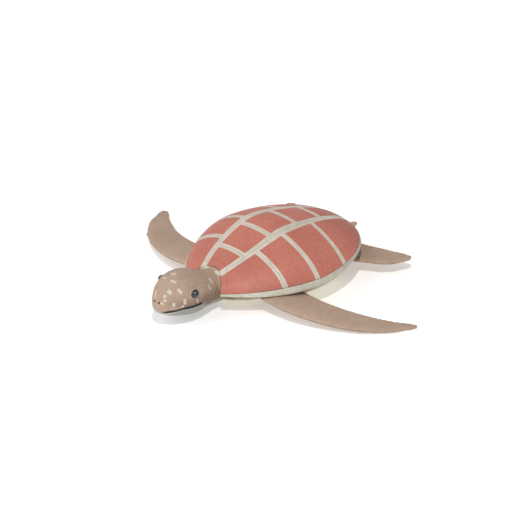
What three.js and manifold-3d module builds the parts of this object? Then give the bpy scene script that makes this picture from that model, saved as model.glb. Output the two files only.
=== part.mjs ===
/**
 * A sea turtle at rest on the ground: a loggerhead at life size, as a still model.
 *
 * Millimetres. +Z is up, the head points along -Y and +X is the animal's left.
 * The origin is on the ground, under the flat middle of the belly plate.
 * Each scute, limb and sense organ is its own closed mesh. Pieces of the right side
 * are the left ones again, in a group that mirrors X.
 */
import * as THREE from 'three';
import { mergeVertices } from 'three/addons/utils/BufferGeometryUtils.js';
import Module from 'manifold-3d';

const wasm = await Module();
wasm.setup();

// ---- Driving dimensions ------------------------------------------------------------

const CLEARANCE = 0.5; // between a limb and what it is let into
const SEAM_GAP = 1.2; // from a scute's edge to the line of its seam
const SCUTE_THICKNESS = 9;

// The upper shell in plan: two superellipse halves that meet at the widest place.
const SHELL = {
  widestY: -18,
  halfWidth: 314,
  front: { length: 418, power: 1.56 },
  rear: { length: 380, power: 2.17 },
};
// The line where the costal scutes meet the marginal ones climbs towards the tail.
const EDGE = { z: 124, climb: 0.069 };
// The dome over that line: its apex, and how each half comes down. Across the body it is
// fuller near the head and falls more evenly near the tail.
const DOME = {
  apexY: -50, height: 145.3, frontPower: 1.296, rearPower: 1.346,
  crossFront: { y: -290, power: 0.647 }, crossRear: { y: 254, power: 0.818 },
};

// Seams. Angles run round the edge from the widest place: -90 is the front, 90 the rear.
const VERTEBRAL_HALF_WIDTH = 92;
const VERTEBRAL_TAPER = { linear: 0.196, square: 0.524, cube: -0.293, length: 376 };
const CROSS_SEAMS_Y = [-235, -99, 50, 199];
const RIB_SEAMS = [
  { innerY: -191, outerAngle: -30 },
  { innerY: -58, outerAngle: -8.7 },
  { innerY: 119, outerAngle: 16.6 },
];

// The bay in the front edge that the neck comes out of, and the nuchal scute behind it.
const BAY = { y: -330, cornerAngle: -66.4 };
const NUCHAL = { y: -300, cornerAngle: -62.5 };

// Marginal scutes: their count on each side, and their section at its largest, as pairs
// of the distance outwards from the edge line and the height over it.
const MARGINALS_PER_SIDE = 12;
const RIM_SIZE = { bay: 0.3, side: 0.83, tail: 0.45, grownAt: 0.3, waneFrom: 0.4, wanedAt: 0.7 };
const MARGINAL_SECTION = [
  [2.4, 1], [8, -9], [13, -22], [12, -31], [2, -37], [-16, -40], [-15, -30], [-6, -12],
];

// The underside: flat out to a share of the way to the edge, then rising to the rim.
const UNDERSIDE = { overhang: 14, flatShare: 0.42, rimZ: 93, power: 1.5 };
const PLASTRON = {
  thickness: 12, midY: -8, halfLength: 322, lobeHalfWidth: 121, lobePower: 5,
  bridgeFront: [-120, -60], bridgeRear: [142, 202], bridgeInset: 24, bluntEnd: 1.5, seam: 0.6,
};

// Head and neck from above and from the side, at distances along the body:
// y, top, bottom, half width.
const NECK_START_Y = -316;
const HEAD_START_Y = -430;
const HEAD_KEYS = [
  [-310, 152, 20, 70],
  [-350, 159, 19, 71],
  [-390, 168, 21, 71],
  [-430, 184, 22, 78],
  [-470, 202, 20, 89],
  [-510, 211, 23, 94],
  [-550, 207, 33, 93],
  [-590, 191, 44, 79],
  [-616, 172, 53, 62],
  [-637, 151, 65, 43],
  [-650, 133, 75, 28],
  [-658, 116, 87, 11],
];

const EYE = { x: 90, y: -532, z: 146, radius: 20 };
const MOUTH = { cornerY: -487, cornerZ: 90, archY: -585, archZ: 96, frontZ: 70, slit: 1.2 };
// The horn of the beak in side view, as [y, z] pairs back from the tip and round.
const BEAK = {
  upper: [[-690, 124], [-647, 117], [-625, 108], [-595, 105], [-568, 99], [-568, 60], [-690, 50]],
  lower: [[-690, 99], [-588, 99], [-604, 74], [-624, 56], [-690, 30]],
};

// Flippers: leading and trailing edges from the body out to the tip, with half the
// thickness against the share of the way along.
const FRONT_FLIPPER = {
  leading: [[130, -268, 75], [363, -253, 56], [559, -151, 22.5], [686, -19, 9], [722, 84, 5.5]],
  trailing: [[150, -78, 64], [360, -92, 60], [484, -53, 43], [593, 14, 22], [709, 98, 5.5]],
  thickness: [[0, 21], [0.25, 21], [0.5, 18], [0.75, 12], [1, 6.5]],
  clawAt: 0.57,
};
const HIND_FLIPPER = {
  leading: [[150, 205, 60], [247, 277, 58], [307, 321, 55.5], [341, 383, 54.5], [347, 420, 54.5]],
  trailing: [[60, 365, 58], [170, 396, 58], [240, 422, 57.5], [298, 442, 56], [333, 443, 55]],
  thickness: [[0, 18], [0.25, 15.5], [0.5, 12.5], [0.75, 10], [1, 7]],
  clawAt: 0.6,
};
const TIP_CLEARANCE = 0.8; // between the front flippers' tips and the ground
const CLAW = { length: 17, radius: 4.5, tipRadius: 0.8, sunk: 9, lean: 0.2 };

// The tail: y, height of its middle, radius.
const TAIL_KEYS = [[300, 72, 30], [360, 75, 25], [416, 77, 19], [456, 78, 12], [470, 78, 5]];

// ---- Small tools -------------------------------------------------------------------

const radians = THREE.MathUtils.degToRad;
const { lerp, smoothstep, clamp } = THREE.MathUtils;

// A smooth function through rows of [position, value, value ...], positions rising or falling.
function through(keys) {
  const at = (i) => keys[clamp(i, 0, keys.length - 1)];
  const slope = (i, c) => (at(i + 1)[c] - at(i - 1)[c]) / (at(i + 1)[0] - at(i - 1)[0]);
  const falling = keys[0][0] > keys[1][0];
  return (position) => {
    const past = keys.findIndex((k) => (falling ? k[0] < position : k[0] > position));
    const i = past < 0 ? keys.length - 2 : Math.max(0, past - 1);
    const span = at(i + 1)[0] - at(i)[0];
    const t = (position - at(i)[0]) / span;
    return at(i).slice(1).map((value, n) => {
      const c = n + 1;
      const rise = t * t * (3 - 2 * t);
      return value + (at(i + 1)[c] - value) * rise +
        span * t * (1 - t) * ((1 - t) * slope(i, c) - t * slope(i + 1, c));
    });
  };
}

function geometryOf(points, triangles) {
  const geometry = new THREE.BufferGeometry();
  geometry.setAttribute('position', new THREE.Float32BufferAttribute(points.flat(), 3));
  geometry.setIndex(triangles.flat());
  return turnedOut(geometry);
}

// Six times the volume inside, negative where the faces point in.
function signedVolume(geometry) {
  const corner = [0, 1, 2].map(() => new THREE.Vector3());
  const { index, attributes } = geometry;
  let sum = 0;
  for (let i = 0; i < index.count; i += 3) {
    corner.forEach((c, k) => c.fromBufferAttribute(attributes.position, index.getX(i + k)));
    sum += corner[0].dot(corner[1].clone().cross(corner[2]));
  }
  return sum;
}

function turnedOut(geometry) {
  if (signedVolume(geometry) < 0) geometry.index.array.reverse();
  return geometry;
}

// Two triangles over a, b, c, d. The diagonal is turned on the right side, so that
// the two sides of the body stay mirror images.
function quad(points, a, b, c, d) {
  const acrossSum = points[a][0] + points[b][0] + points[c][0] + points[d][0];
  return acrossSum < 0 ? [[a, b, d], [b, c, d]] : [[a, b, c], [a, c, d]];
}

// A closed solid through rings of equal length, with a flat fan over each end.
function loft(rings) {
  const size = rings[0].length;
  const points = rings.flat();
  const triangles = [];
  for (let r = 0; r + 1 < rings.length; r++) {
    for (let i = 0; i < size; i++) {
      const a = r * size + i;
      const b = r * size + ((i + 1) % size);
      triangles.push(...quad(points, a, b, b + size, a + size));
    }
  }
  const cap = (first, flip) => {
    for (let i = 1; i + 1 < size; i++) {
      triangles.push(flip ? [first, first + i + 1, first + i] : [first, first + i, first + i + 1]);
    }
  };
  cap(0, true);
  cap((rings.length - 1) * size, false);
  return geometryOf(points, triangles);
}

// A plate between two grids of points of the same size.
function plate(outer, inner) {
  const rows = outer.length;
  const columns = outer[0].length;
  const count = rows * columns;
  const points = [...outer.flat(), ...inner.flat()];
  const triangles = [];
  const add = (a, b, c, d) => triangles.push(...quad(points, a, b, c, d));
  for (let r = 0; r + 1 < rows; r++) {
    for (let c = 0; c + 1 < columns; c++) {
      const a = r * columns + c;
      add(a, a + 1, a + columns + 1, a + columns);
      add(count + a + columns, count + a + columns + 1, count + a + 1, count + a);
    }
  }
  const border = [];
  for (let c = 0; c + 1 < columns; c++) border.push(c);
  for (let r = 0; r + 1 < rows; r++) border.push(r * columns + columns - 1);
  for (let c = columns - 1; c > 0; c--) border.push((rows - 1) * columns + c);
  for (let r = rows - 1; r > 0; r--) border.push(r * columns);
  border.forEach((a, i) => {
    const b = border[(i + 1) % border.length];
    add(b, a, count + a, count + b);
  });
  return geometryOf(points, triangles);
}

// A patch between four curves in plan, given as functions of 0 to 1 that meet at the corners:
// front and rear run from the inner side to the outer one, inner and outer from front to rear.
function patch({ front, rear, inner, outer }, rows, columns, easeRow, easeColumn) {
  const at = (u, v) => [0, 1].map((k) =>
    (1 - v) * front(u)[k] + v * rear(u)[k] + (1 - u) * inner(v)[k] + u * outer(v)[k] -
    (1 - u) * ((1 - v) * front(0)[k] + v * rear(0)[k]) -
    u * ((1 - v) * front(1)[k] + v * rear(1)[k]));
  const gapU = SEAM_GAP / Math.hypot(at(1, 0.5)[0] - at(0, 0.5)[0], at(1, 0.5)[1] - at(0, 0.5)[1]);
  const gapV = SEAM_GAP / Math.hypot(at(0.5, 1)[0] - at(0.5, 0)[0], at(0.5, 1)[1] - at(0.5, 0)[1]);
  return steps(rows).map((v) => steps(columns).map((u) =>
    at(lerp(gapU, 1 - gapU, easeColumn(u)), lerp(gapV, 1 - gapV, easeRow(v)))));
}

const steps = (count) => Array.from({ length: count + 1 }, (_, i) => i / count);
const even = (t) => t;
const closerAtEnd = (t) => Math.sin((t * Math.PI) / 2);

function solid(geometry) {
  const bare = new THREE.BufferGeometry();
  bare.setAttribute('position', geometry.getAttribute('position'));
  if (geometry.index) bare.setIndex(geometry.index);
  const merged = mergeVertices(bare, 1e-3);
  return new wasm.Manifold(new wasm.Mesh({
    numProp: 3,
    vertProperties: new Float32Array(merged.attributes.position.array),
    triVerts: new Uint32Array(merged.index.array),
  }));
}

function geometryOfSolid(manifold) {
  const mesh = manifold.getMesh();
  const geometry = new THREE.BufferGeometry();
  geometry.setAttribute('position', new THREE.BufferAttribute(mesh.vertProperties, 3));
  geometry.setIndex(new THREE.BufferAttribute(mesh.triVerts, 1));
  return geometry;
}

// A clockwise outline of [y, z] pairs with its sides moved out by a distance.
function movedOut(outline, by) {
  const count = outline.length;
  const corners = outline.map((pair) => new THREE.Vector2(...pair));
  return corners.map((corner, i) => {
    const before = corner.clone().sub(corners[(i + count - 1) % count]).normalize();
    const after = corners[(i + 1) % count].clone().sub(corner).normalize();
    const middle = before.clone().add(after).normalize();
    const reach = by / middle.dot(after);
    return [corner.x - middle.y * reach, corner.y + middle.x * reach];
  });
}

// A prism across the body, from its outline in side view as [y, z] pairs.
function sidePrism(outline, halfWidth) {
  const shape = new THREE.Shape(outline.map(([y, z]) => new THREE.Vector2(y, z)));
  const prism = new THREE.ExtrudeGeometry(shape, { depth: 2 * halfWidth, bevelEnabled: false });
  // The outline's own axes become Y and Z, and the depth runs along X.
  prism.applyMatrix4(new THREE.Matrix4().makeBasis(
    new THREE.Vector3(0, 1, 0), new THREE.Vector3(0, 0, 1), new THREE.Vector3(1, 0, 0)));
  prism.translate(-halfWidth, 0, 0);
  return solid(prism);
}

// ---- Colours -----------------------------------------------------------------------

const FINISHES = {
  scute: { color: 0xbd7862, roughness: 0.55 },
  rim: { color: 0xcfcab2, roughness: 0.6 },
  skin: { color: 0xb29988, roughness: 0.75 },
  throat: { color: 0xc3b3a2, roughness: 0.75 },
  horn: { color: 0x8f7a66, roughness: 0.45 },
  eye: { color: 0x1c2226, roughness: 0.1 },
};

const turtle = new THREE.Group();
const leftSide = new THREE.Group();
const rightSide = new THREE.Group();
rightSide.scale.x = -1;
turtle.add(leftSide, rightSide);

function place(parent, name, geometry, finish) {
  const material = new THREE.MeshStandardMaterial({ ...FINISHES[finish], metalness: 0 });
  const mesh = new THREE.Mesh(geometry, material);
  mesh.name = name;
  parent.add(mesh);
}

function placePair(name, geometry, finish) {
  place(leftSide, `${name}_left`, geometry, finish);
  place(rightSide, `${name}_right`, geometry, finish);
}

// ---- The shell's surfaces ----------------------------------------------------------

const shellHalf = (y) => (y < SHELL.widestY ? SHELL.front : SHELL.rear);

// Half the width between the edge lines, or between lines set in from them.
function halfWidthAt(y, inset = 0) {
  const { length, power } = shellHalf(y);
  const v = Math.min(1, Math.abs(y - SHELL.widestY) / (length - inset));
  return (SHELL.halfWidth - inset) * (1 - v ** power) ** (1 / power);
}

// A point of the edge line, by its angle round from the widest place.
function edgePoint(degrees) {
  const { length, power } = degrees < 0 ? SHELL.front : SHELL.rear;
  const x = SHELL.halfWidth * Math.cos(radians(degrees)) ** (2 / power);
  const y = length * Math.sin(radians(Math.abs(degrees))) ** (2 / power);
  return [x, SHELL.widestY + Math.sign(degrees) * y];
}

const edgeZ = (y) => EDGE.z + EDGE.climb * y;

function domeZ(x, y) {
  const ahead = y < DOME.apexY;
  const power = ahead ? DOME.frontPower : DOME.rearPower;
  const end = SHELL.widestY + (ahead ? -SHELL.front.length : SHELL.rear.length);
  const v = clamp((y - DOME.apexY) / (end - DOME.apexY), 0, 1);
  const ridge = DOME.height * (1 - v ** power) ** (1 / power);
  const width = Math.max(halfWidthAt(y), 1);
  const { crossFront, crossRear } = DOME;
  const cross = lerp(crossFront.power, crossRear.power, smoothstep(y, crossFront.y, crossRear.y));
  return edgeZ(y) + ridge * Math.max(0, 1 - (x / width) ** 2) ** cross;
}

// The point of the dome over x, y, set in by a depth along the dome's normal, which is
// read a little inside the edge, where the dome isn't upright yet.
function onDome(x, y, depth) {
  const inside = 0.98;
  const nx = x * inside;
  const ny = SHELL.widestY + (y - SHELL.widestY) * inside;
  const normal = new THREE.Vector3(
    (domeZ(nx - 1, ny) - domeZ(nx + 1, ny)) / 2,
    (domeZ(nx, ny - 1) - domeZ(nx, ny + 1)) / 2,
    1,
  ).normalize();
  return [x - depth * normal.x, y - depth * normal.y, domeZ(x, y) - depth * normal.z];
}

// The height of the underside, which is flat in the middle.
function undersideZ(x, y) {
  const { length, power } = shellHalf(y);
  const across = Math.abs(x) / (SHELL.halfWidth + UNDERSIDE.overhang);
  const along = Math.abs(y - SHELL.widestY) / (length + UNDERSIDE.overhang);
  const share = (across ** power + along ** power) ** (1 / power);
  const t = clamp((share - UNDERSIDE.flatShare) / (1 - UNDERSIDE.flatShare), 0, 1);
  return (UNDERSIDE.rimZ + EDGE.climb * y) * t ** UNDERSIDE.power;
}

// ---- Scutes of the dome ------------------------------------------------------------

function vertebralEdge(y) {
  const { linear, square, cube, length } = VERTEBRAL_TAPER;
  const s = y / length;
  return VERTEBRAL_HALF_WIDTH * (1 - linear * s - square * s ** 2 - cube * s ** 3);
}

const line = (a, b) => (t) => [lerp(a[0], b[0], t), lerp(a[1], b[1], t)];
const alongEdge = (from, to) => (t) => edgePoint(lerp(from, to, t));
const alongVertebralSeam = (y0, y1, side = 1) => (t) => {
  const y = lerp(y0, y1, t);
  return [side * vertebralEdge(y), y];
};

// The bay and the nuchal scute's rear seam are parabolas between two places of the edge.
function bow({ y, cornerAngle }) {
  const [cornerX, cornerY] = edgePoint(cornerAngle);
  return (x) => [x, lerp(y, cornerY, (x / cornerX) ** 2)];
}
const bayLine = bow(BAY);
const nuchalLine = bow(NUCHAL);

// Where the nuchal scute's seam meets the vertebral one.
function nuchalSeamEnd() {
  let y = NUCHAL.y;
  for (let i = 0; i < 20; i++) y = nuchalLine(vertebralEdge(y))[1];
  return [vertebralEdge(y), y];
}

// The angle at which the vertebral seam runs out over the edge line at the tail.
function tailSeamAngle() {
  let [low, high] = [45, 89.9];
  for (let i = 0; i < 30; i++) {
    const middle = (low + high) / 2;
    const [x, y] = edgePoint(middle);
    if (x > vertebralEdge(y)) low = middle;
    else high = middle;
  }
  return low;
}

function scute(plan) {
  const at = (depth) => plan.map((row) => row.map(([x, y]) => onDome(x, y, depth)));
  return plate(at(0), at(SCUTE_THICKNESS));
}

const [bayX] = edgePoint(BAY.cornerAngle);
const [nuchalX] = edgePoint(NUCHAL.cornerAngle);
const [seamEndX, seamEndY] = nuchalSeamEnd();
const tailAngle = tailSeamAngle();
const [, tailSeamY] = edgePoint(tailAngle);

function addNuchal() {
  const leftEnd = alongEdge(BAY.cornerAngle, NUCHAL.cornerAngle);
  const rightEnd = (v) => {
    const [x, y] = leftEnd(v);
    return [-x, y];
  };
  const plan = patch({
    front: (u) => bayLine(lerp(-bayX, bayX, u)),
    rear: (u) => nuchalLine(lerp(-nuchalX, nuchalX, u)),
    inner: rightEnd,
    outer: leftEnd,
  }, 2, 12, even, even);
  place(turtle, 'nuchal', scute(plan), 'scute');
}

function addVertebrals() {
  const across = (y) => (u) => [lerp(-vertebralEdge(y), vertebralEdge(y), u), y];
  const nuchalSeam = (u) => nuchalLine(lerp(-seamEndX, seamEndX, u));
  const tailSeam = (u) => {
    const [x, y] = edgePoint(lerp(89.99, tailAngle, Math.abs(2 * u - 1)));
    return [Math.sign(u - 0.5) * x, y];
  };
  const ends = [seamEndY, ...CROSS_SEAMS_Y, tailSeamY];
  for (let i = 0; i < 5; i++) {
    const plan = patch({
      front: i === 0 ? nuchalSeam : across(ends[i]),
      rear: i === 4 ? tailSeam : across(ends[i + 1]),
      inner: alongVertebralSeam(ends[i], ends[i + 1], -1),
      outer: alongVertebralSeam(ends[i], ends[i + 1]),
    }, i === 4 ? 5 : 4, 5, i === 4 ? closerAtEnd : even, even);
    place(turtle, `vertebral_${i + 1}`, scute(plan), 'scute');
  }
}

function addCostals() {
  const rib = ({ innerY, outerAngle }) => line([vertebralEdge(innerY), innerY], edgePoint(outerAngle));
  const [first, second, third] = RIB_SEAMS;
  const middle = (third.outerAngle + tailAngle) / 2;
  const outlines = [
    {
      front: (u) => nuchalLine(lerp(seamEndX, nuchalX, u)),
      rear: rib(first),
      inner: alongVertebralSeam(seamEndY, first.innerY),
      outer: alongEdge(NUCHAL.cornerAngle, first.outerAngle),
    },
    {
      front: rib(first),
      rear: rib(second),
      inner: alongVertebralSeam(first.innerY, second.innerY),
      outer: alongEdge(first.outerAngle, second.outerAngle),
    },
    {
      front: rib(second),
      rear: rib(third),
      inner: alongVertebralSeam(second.innerY, third.innerY),
      outer: alongEdge(second.outerAngle, third.outerAngle),
    },
    {
      // The last one has two sides on the edge, so one of its corners lies on it.
      front: rib(third),
      rear: alongEdge(tailAngle, middle),
      inner: alongVertebralSeam(third.innerY, tailSeamY),
      outer: alongEdge(third.outerAngle, middle),
    },
  ];
  outlines.forEach((outline, i) => {
    const plan = patch(outline, i === 3 ? 6 : 5, 6, i === 3 ? closerAtEnd : even, closerAtEnd);
    placePair(`costal_${i + 1}`, scute(plan), 'scute');
  });
}

// ---- Marginal scutes ---------------------------------------------------------------

const rimCurve = new THREE.SplineCurve(
  steps(80).map((t) => new THREE.Vector2(...edgePoint(lerp(BAY.cornerAngle, 89.9, t)))));

// The marginal section at a share of the way along the rim, from the bay to the tail.
function rimSection(share, grow = 0) {
  const point = rimCurve.getPointAt(clamp(share, 0, 1));
  const ahead = rimCurve.getTangentAt(clamp(share, 0, 1));
  const outwards = new THREE.Vector2(ahead.y, -ahead.x);
  const { bay, side, tail, grownAt, waneFrom, wanedAt } = RIM_SIZE;
  const towardsSide = lerp(bay, side, smoothstep(share, 0, grownAt));
  const size = lerp(towardsSide, tail, smoothstep(share, waneFrom, wanedAt));
  return MARGINAL_SECTION.map(([out, up]) => {
    const o = out * size + grow * Math.sign(out + 1);
    const z = edgeZ(point.y) + up * size + (up < -25 ? -grow : grow);
    return [point.x + outwards.x * o, point.y + outwards.y * o, z];
  });
}

// Where the sections of a marginal scute stand, as shares of the way along the rim.
function marginalShares(number) {
  const gap = SEAM_GAP / rimCurve.getLength();
  const from = (number - 1) / MARGINALS_PER_SIDE + gap;
  const to = number / MARGINALS_PER_SIDE - gap;
  return [from, (from + to) / 2, to];
}

const marginalNumbers = Array.from({ length: MARGINALS_PER_SIDE }, (_, i) => i + 1);

function addMarginals() {
  marginalNumbers.forEach((number) => {
    const rings = marginalShares(number).map((share) => rimSection(share));
    placePair(`marginal_${String(number).padStart(2, '0')}`, loft(rings), 'rim');
  });
}

// ---- Belly plate -------------------------------------------------------------------

function plastronHalfWidth(y) {
  const { midY, halfLength, lobeHalfWidth, lobePower, bridgeFront, bridgeRear, bridgeInset } = PLASTRON;
  const v = Math.min(1, Math.abs(y - midY) / halfLength);
  const lobe = lobeHalfWidth * Math.sqrt(1 - v ** lobePower);
  const bridge = smoothstep(y, ...bridgeFront) * (1 - smoothstep(y, ...bridgeRear));
  return lerp(lobe, halfWidthAt(y) - bridgeInset, bridge);
}

// The whole belly plate, grown by a distance all round.
function bellyPlate(grow) {
  const { midY, halfLength, thickness, bluntEnd } = PLASTRON;
  const at = (raise) => steps(14).map((v) => {
    const along = Math.sin((v - 0.5) * Math.PI);
    const y = midY + (halfLength - bluntEnd) * along;
    return steps(8).map((u) => {
      const across = 2 * u - 1;
      const x = across * plastronHalfWidth(y);
      return [x + grow * across, y + grow * along, undersideZ(x, y) + raise];
    });
  });
  return plate(at(-grow), at(thickness + grow));
}

// Its front or rear quarter on the left, up to the seams along and across its middle.
function bellyQuarter(isFront) {
  const { midY, halfLength, thickness, bluntEnd, seam } = PLASTRON;
  const at = (raise) => steps(7).map((v) => {
    const along = (halfLength - bluntEnd) * Math.sin(((isFront ? v - 1 : v) * Math.PI) / 2);
    const y = midY + (isFront ? Math.min(-seam / 2, along) : Math.max(seam / 2, along));
    return steps(4).map((u) => {
      const x = Math.max(seam / 2, u * plastronHalfWidth(y));
      return [x, y, undersideZ(x, y) + raise];
    });
  });
  return plate(at(0), at(thickness));
}

// ---- Trunk -------------------------------------------------------------------------

const TRUNK = {
  frontY: -338, rearY: 330, middleZ: 88,
  underScutes: 12.5, overPlastron: 16, topInset: 9, bottomInset: 27, underEdge: 40,
};

// What the shell holds, as a ring round it at y: over the top from right to left, then back below.
function trunkRing(y, grow) {
  const top = steps(12).map((t) => {
    const x = halfWidthAt(y, TRUNK.topInset - grow) * -Math.cos(t * Math.PI);
    return onDome(x, y, TRUNK.underScutes - grow);
  });
  const bottom = steps(8).map((t) => {
    const x = halfWidthAt(y, TRUNK.bottomInset - grow) * Math.cos(t * Math.PI);
    const floor = undersideZ(x, y) + TRUNK.overPlastron - grow;
    return [x, y, Math.min(floor, edgeZ(y) - TRUNK.underEdge - grow)];
  });
  return [...top, ...bottom];
}

function scaledRing(ring, y, size, centreZ) {
  return ring.map(([x, , z]) => [x * size, y, centreZ + (z - centreZ) * size]);
}

function trunk(grow = 0) {
  const { frontY, rearY, middleZ } = TRUNK;
  const rings = steps(14).map((t) => trunkRing(lerp(frontY, rearY, t), grow));
  const front = rings[0];
  const rear = rings[rings.length - 1];
  return loft([
    scaledRing(front, frontY - 40 - grow, 0.45, middleZ),
    scaledRing(front, frontY - 24 - grow, 0.78, middleZ),
    ...rings,
    scaledRing(rear, rearY + 12 + grow, 0.7, middleZ + 12),
  ]);
}

// ---- Head and neck -----------------------------------------------------------------

const headAt = through(HEAD_KEYS);

function headRing(y, sides = 24) {
  const [top, bottom, halfWidth] = headAt(y);
  // The widest place lies a little under half way up, and the throat is flatter than the crown.
  const middle = lerp(bottom, top, 0.47);
  return steps(sides).slice(0, sides).map((t) => {
    const angle = 2 * Math.PI * t;
    const c = Math.cos(angle);
    const s = Math.sin(angle);
    const z = s > 0 ? (top - middle) * s ** 0.96 : (middle - bottom) * -((-s) ** 0.9);
    return [halfWidth * Math.sign(c) * Math.abs(c) ** 0.92, y, middle + z];
  });
}

function headLoft(fromY, toY, count) {
  return solid(loft(steps(count).map((t) => headRing(lerp(fromY, toY, t)))));
}

function addHeadAndNeck(shell) {
  const neck = headLoft(NECK_START_Y, HEAD_START_Y + CLEARANCE, 6).subtract(shell);
  place(turtle, 'neck', geometryOfSolid(neck), 'skin');

  const [tipY] = HEAD_KEYS[HEAD_KEYS.length - 1];
  const whole = headLoft(HEAD_START_Y, tipY, 16);
  const { cornerY, cornerZ, archY, archZ, frontZ, slit } = MOUTH;
  const jawOutline = [
    [tipY - 30, frontZ], [archY, archZ], [cornerY, cornerZ], [cornerY + 18, cornerZ - 14],
    [cornerY + 34, -10], [tipY - 30, -10],
  ];
  const cut = (outline, by = 0) => sidePrism(movedOut(outline, by), 150);
  const upper = whole.subtract(cut(jawOutline, slit));
  const jaw = whole.intersect(cut(jawOutline));
  const upperBeak = upper.intersect(cut(BEAK.upper));
  const lowerBeak = jaw.intersect(cut(BEAK.lower));
  place(turtle, 'beak_upper', geometryOfSolid(upperBeak), 'horn');
  place(turtle, 'beak_lower', geometryOfSolid(lowerBeak), 'horn');

  const head = [1, -1].reduce(
    (rest, side) => rest.subtract(solid(eyeball(side, CLEARANCE))),
    upper.subtract(cut(BEAK.upper, slit)),
  );
  place(turtle, 'head', geometryOfSolid(head), 'skin');
  place(turtle, 'lower_jaw', geometryOfSolid(jaw.subtract(cut(BEAK.lower, slit))), 'throat');
}

function eyeball(side, grow = 0) {
  const ball = new THREE.SphereGeometry(EYE.radius + grow, 12, 8);
  ball.translate(side * EYE.x, EYE.y, EYE.z);
  return ball;
}

// ---- Flippers ----------------------------------------------------------------------

const curveThrough = (points) =>
  new THREE.CatmullRomCurve3(points.map((p) => new THREE.Vector3(...p)));

function flipper({ leading, trailing, thickness }, count, sides) {
  const front = curveThrough(leading);
  const back = curveThrough(trailing);
  const halfThickness = through(thickness);
  const ring = (t, size = 1, ahead = 0) => {
    const a = front.getPoint(t);
    const b = back.getPoint(t);
    const centre = a.clone().add(b).multiplyScalar(0.5);
    const span = front.getTangent(t).add(back.getTangent(t)).normalize();
    const chord = a.clone().sub(b).multiplyScalar(0.5);
    const up = chord.clone().cross(span).normalize();
    if (up.z < 0) up.negate();
    const [half] = halfThickness(t);
    return steps(sides).slice(0, sides).map((share) => {
      const angle = 2 * Math.PI * share;
      const c = Math.cos(angle);
      // The arm runs inside the leading edge, so the section is thicker there.
      const rise = Math.sin(angle) * half * (0.64 + 0.36 * c);
      return centre.clone()
        .addScaledVector(chord, c * size)
        .addScaledVector(up, rise * size)
        .addScaledVector(span, ahead)
        .toArray();
    });
  };
  return solid(loft([...steps(count).map((t) => ring(t)), ring(1, 0.6, 6)]));
}

// A claw on the leading edge, with its root sunk in the flipper.
function claw({ leading, trailing, clawAt }, grow = 0) {
  const edge = curveThrough(leading);
  const root = edge.getPoint(clawAt);
  const outwards = root.clone().sub(curveThrough(trailing).getPoint(clawAt)).normalize();
  const axis = edge.getTangent(clawAt).addScaledVector(outwards, CLAW.lean).normalize();
  const across = axis.clone().cross(outwards).normalize();
  const upright = axis.clone().cross(across);
  const { length, radius, tipRadius, sunk } = CLAW;
  const stations = [[-sunk - grow, radius], [0, radius], [length / 2, radius * 0.62],
    [length + grow, tipRadius]];
  return solid(loft(stations.map(([ahead, size]) => steps(6).slice(0, 6).map((share) => {
    const angle = 2 * Math.PI * share;
    return root.clone()
      .addScaledVector(axis, ahead)
      .addScaledVector(across, Math.cos(angle) * (size + grow))
      .addScaledVector(upright, Math.sin(angle) * (size + grow))
      .toArray();
  }))));
}

// What would be in the ground. The tips end just above it, so all the weight is on the belly.
function ground() {
  const block = new THREE.BoxGeometry(2000, 2000, 100);
  block.translate(0, 0, TIP_CLEARANCE - 50);
  return solid(block);
}

function addFlippers(shell) {
  const front = flipper(FRONT_FLIPPER, 14, 14).subtract(shell).subtract(ground());
  const hind = flipper(HIND_FLIPPER, 8, 12).subtract(shell);
  const limbs = [['front', front, FRONT_FLIPPER], ['hind', hind, HIND_FLIPPER]];
  for (const [name, limb, shape] of limbs) {
    placePair(`${name}_flipper`, geometryOfSolid(limb.subtract(claw(shape, CLEARANCE))), 'skin');
    placePair(`${name}_claw`, geometryOfSolid(claw(shape)), 'horn');
  }
}

// ---- Tail --------------------------------------------------------------------------

function addTail(shell) {
  const at = through(TAIL_KEYS);
  const rings = steps(6).map((t) => {
    const y = lerp(TAIL_KEYS[0][0], TAIL_KEYS[4][0], Math.sin((t * Math.PI) / 2));
    const [z, radius] = at(y);
    return steps(12).slice(0, 12).map((share) => {
      const angle = 2 * Math.PI * share;
      return [radius * Math.cos(angle), y, z + 0.85 * radius * Math.sin(angle)];
    });
  });
  place(turtle, 'tail', geometryOfSolid(solid(loft(rings)).subtract(shell)), 'skin');
}

// ---- Assembly ----------------------------------------------------------------------

// The space of the belly plate and the rim, a little larger, that flesh keeps out of.
function plateSpace() {
  const shares = [0, ...marginalNumbers.flatMap(marginalShares), 1];
  const rim = (side) => solid(loft(shares.map((share) =>
    rimSection(share, CLEARANCE).map(([x, y, z]) => [side * x, y, z]))));
  return solid(bellyPlate(CLEARANCE)).add(rim(1)).add(rim(-1));
}

addNuchal();
addVertebrals();
addCostals();
addMarginals();
placePair('plastron_front', bellyQuarter(true), 'rim');
placePair('plastron_rear', bellyQuarter(false), 'rim');
const plates = plateSpace();
place(turtle, 'trunk', geometryOfSolid(solid(trunk()).subtract(plates)), 'skin');
const shell = plates.add(solid(trunk(CLEARANCE)));
addHeadAndNeck(shell);
placePair('eye', eyeball(1), 'eye');
addFlippers(shell);
addTail(shell);

export default turtle;
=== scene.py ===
"""The looks of a life-size loggerhead sea turtle at rest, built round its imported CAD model.

Shapes are worked out in millimetres, as in the CAD, and made in metres. +X is the animal's
left, -Y is ahead and Z is up from the ground. The shell's plates, beak, claws and eyes are
pieces of their own. One skin covers neck, head, flippers and tail, with scales over it.
"""
import math
from itertools import product

import bmesh
import bpy
import numpy as np
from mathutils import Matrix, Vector, kdtree
from mathutils.bvhtree import BVHTree


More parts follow.
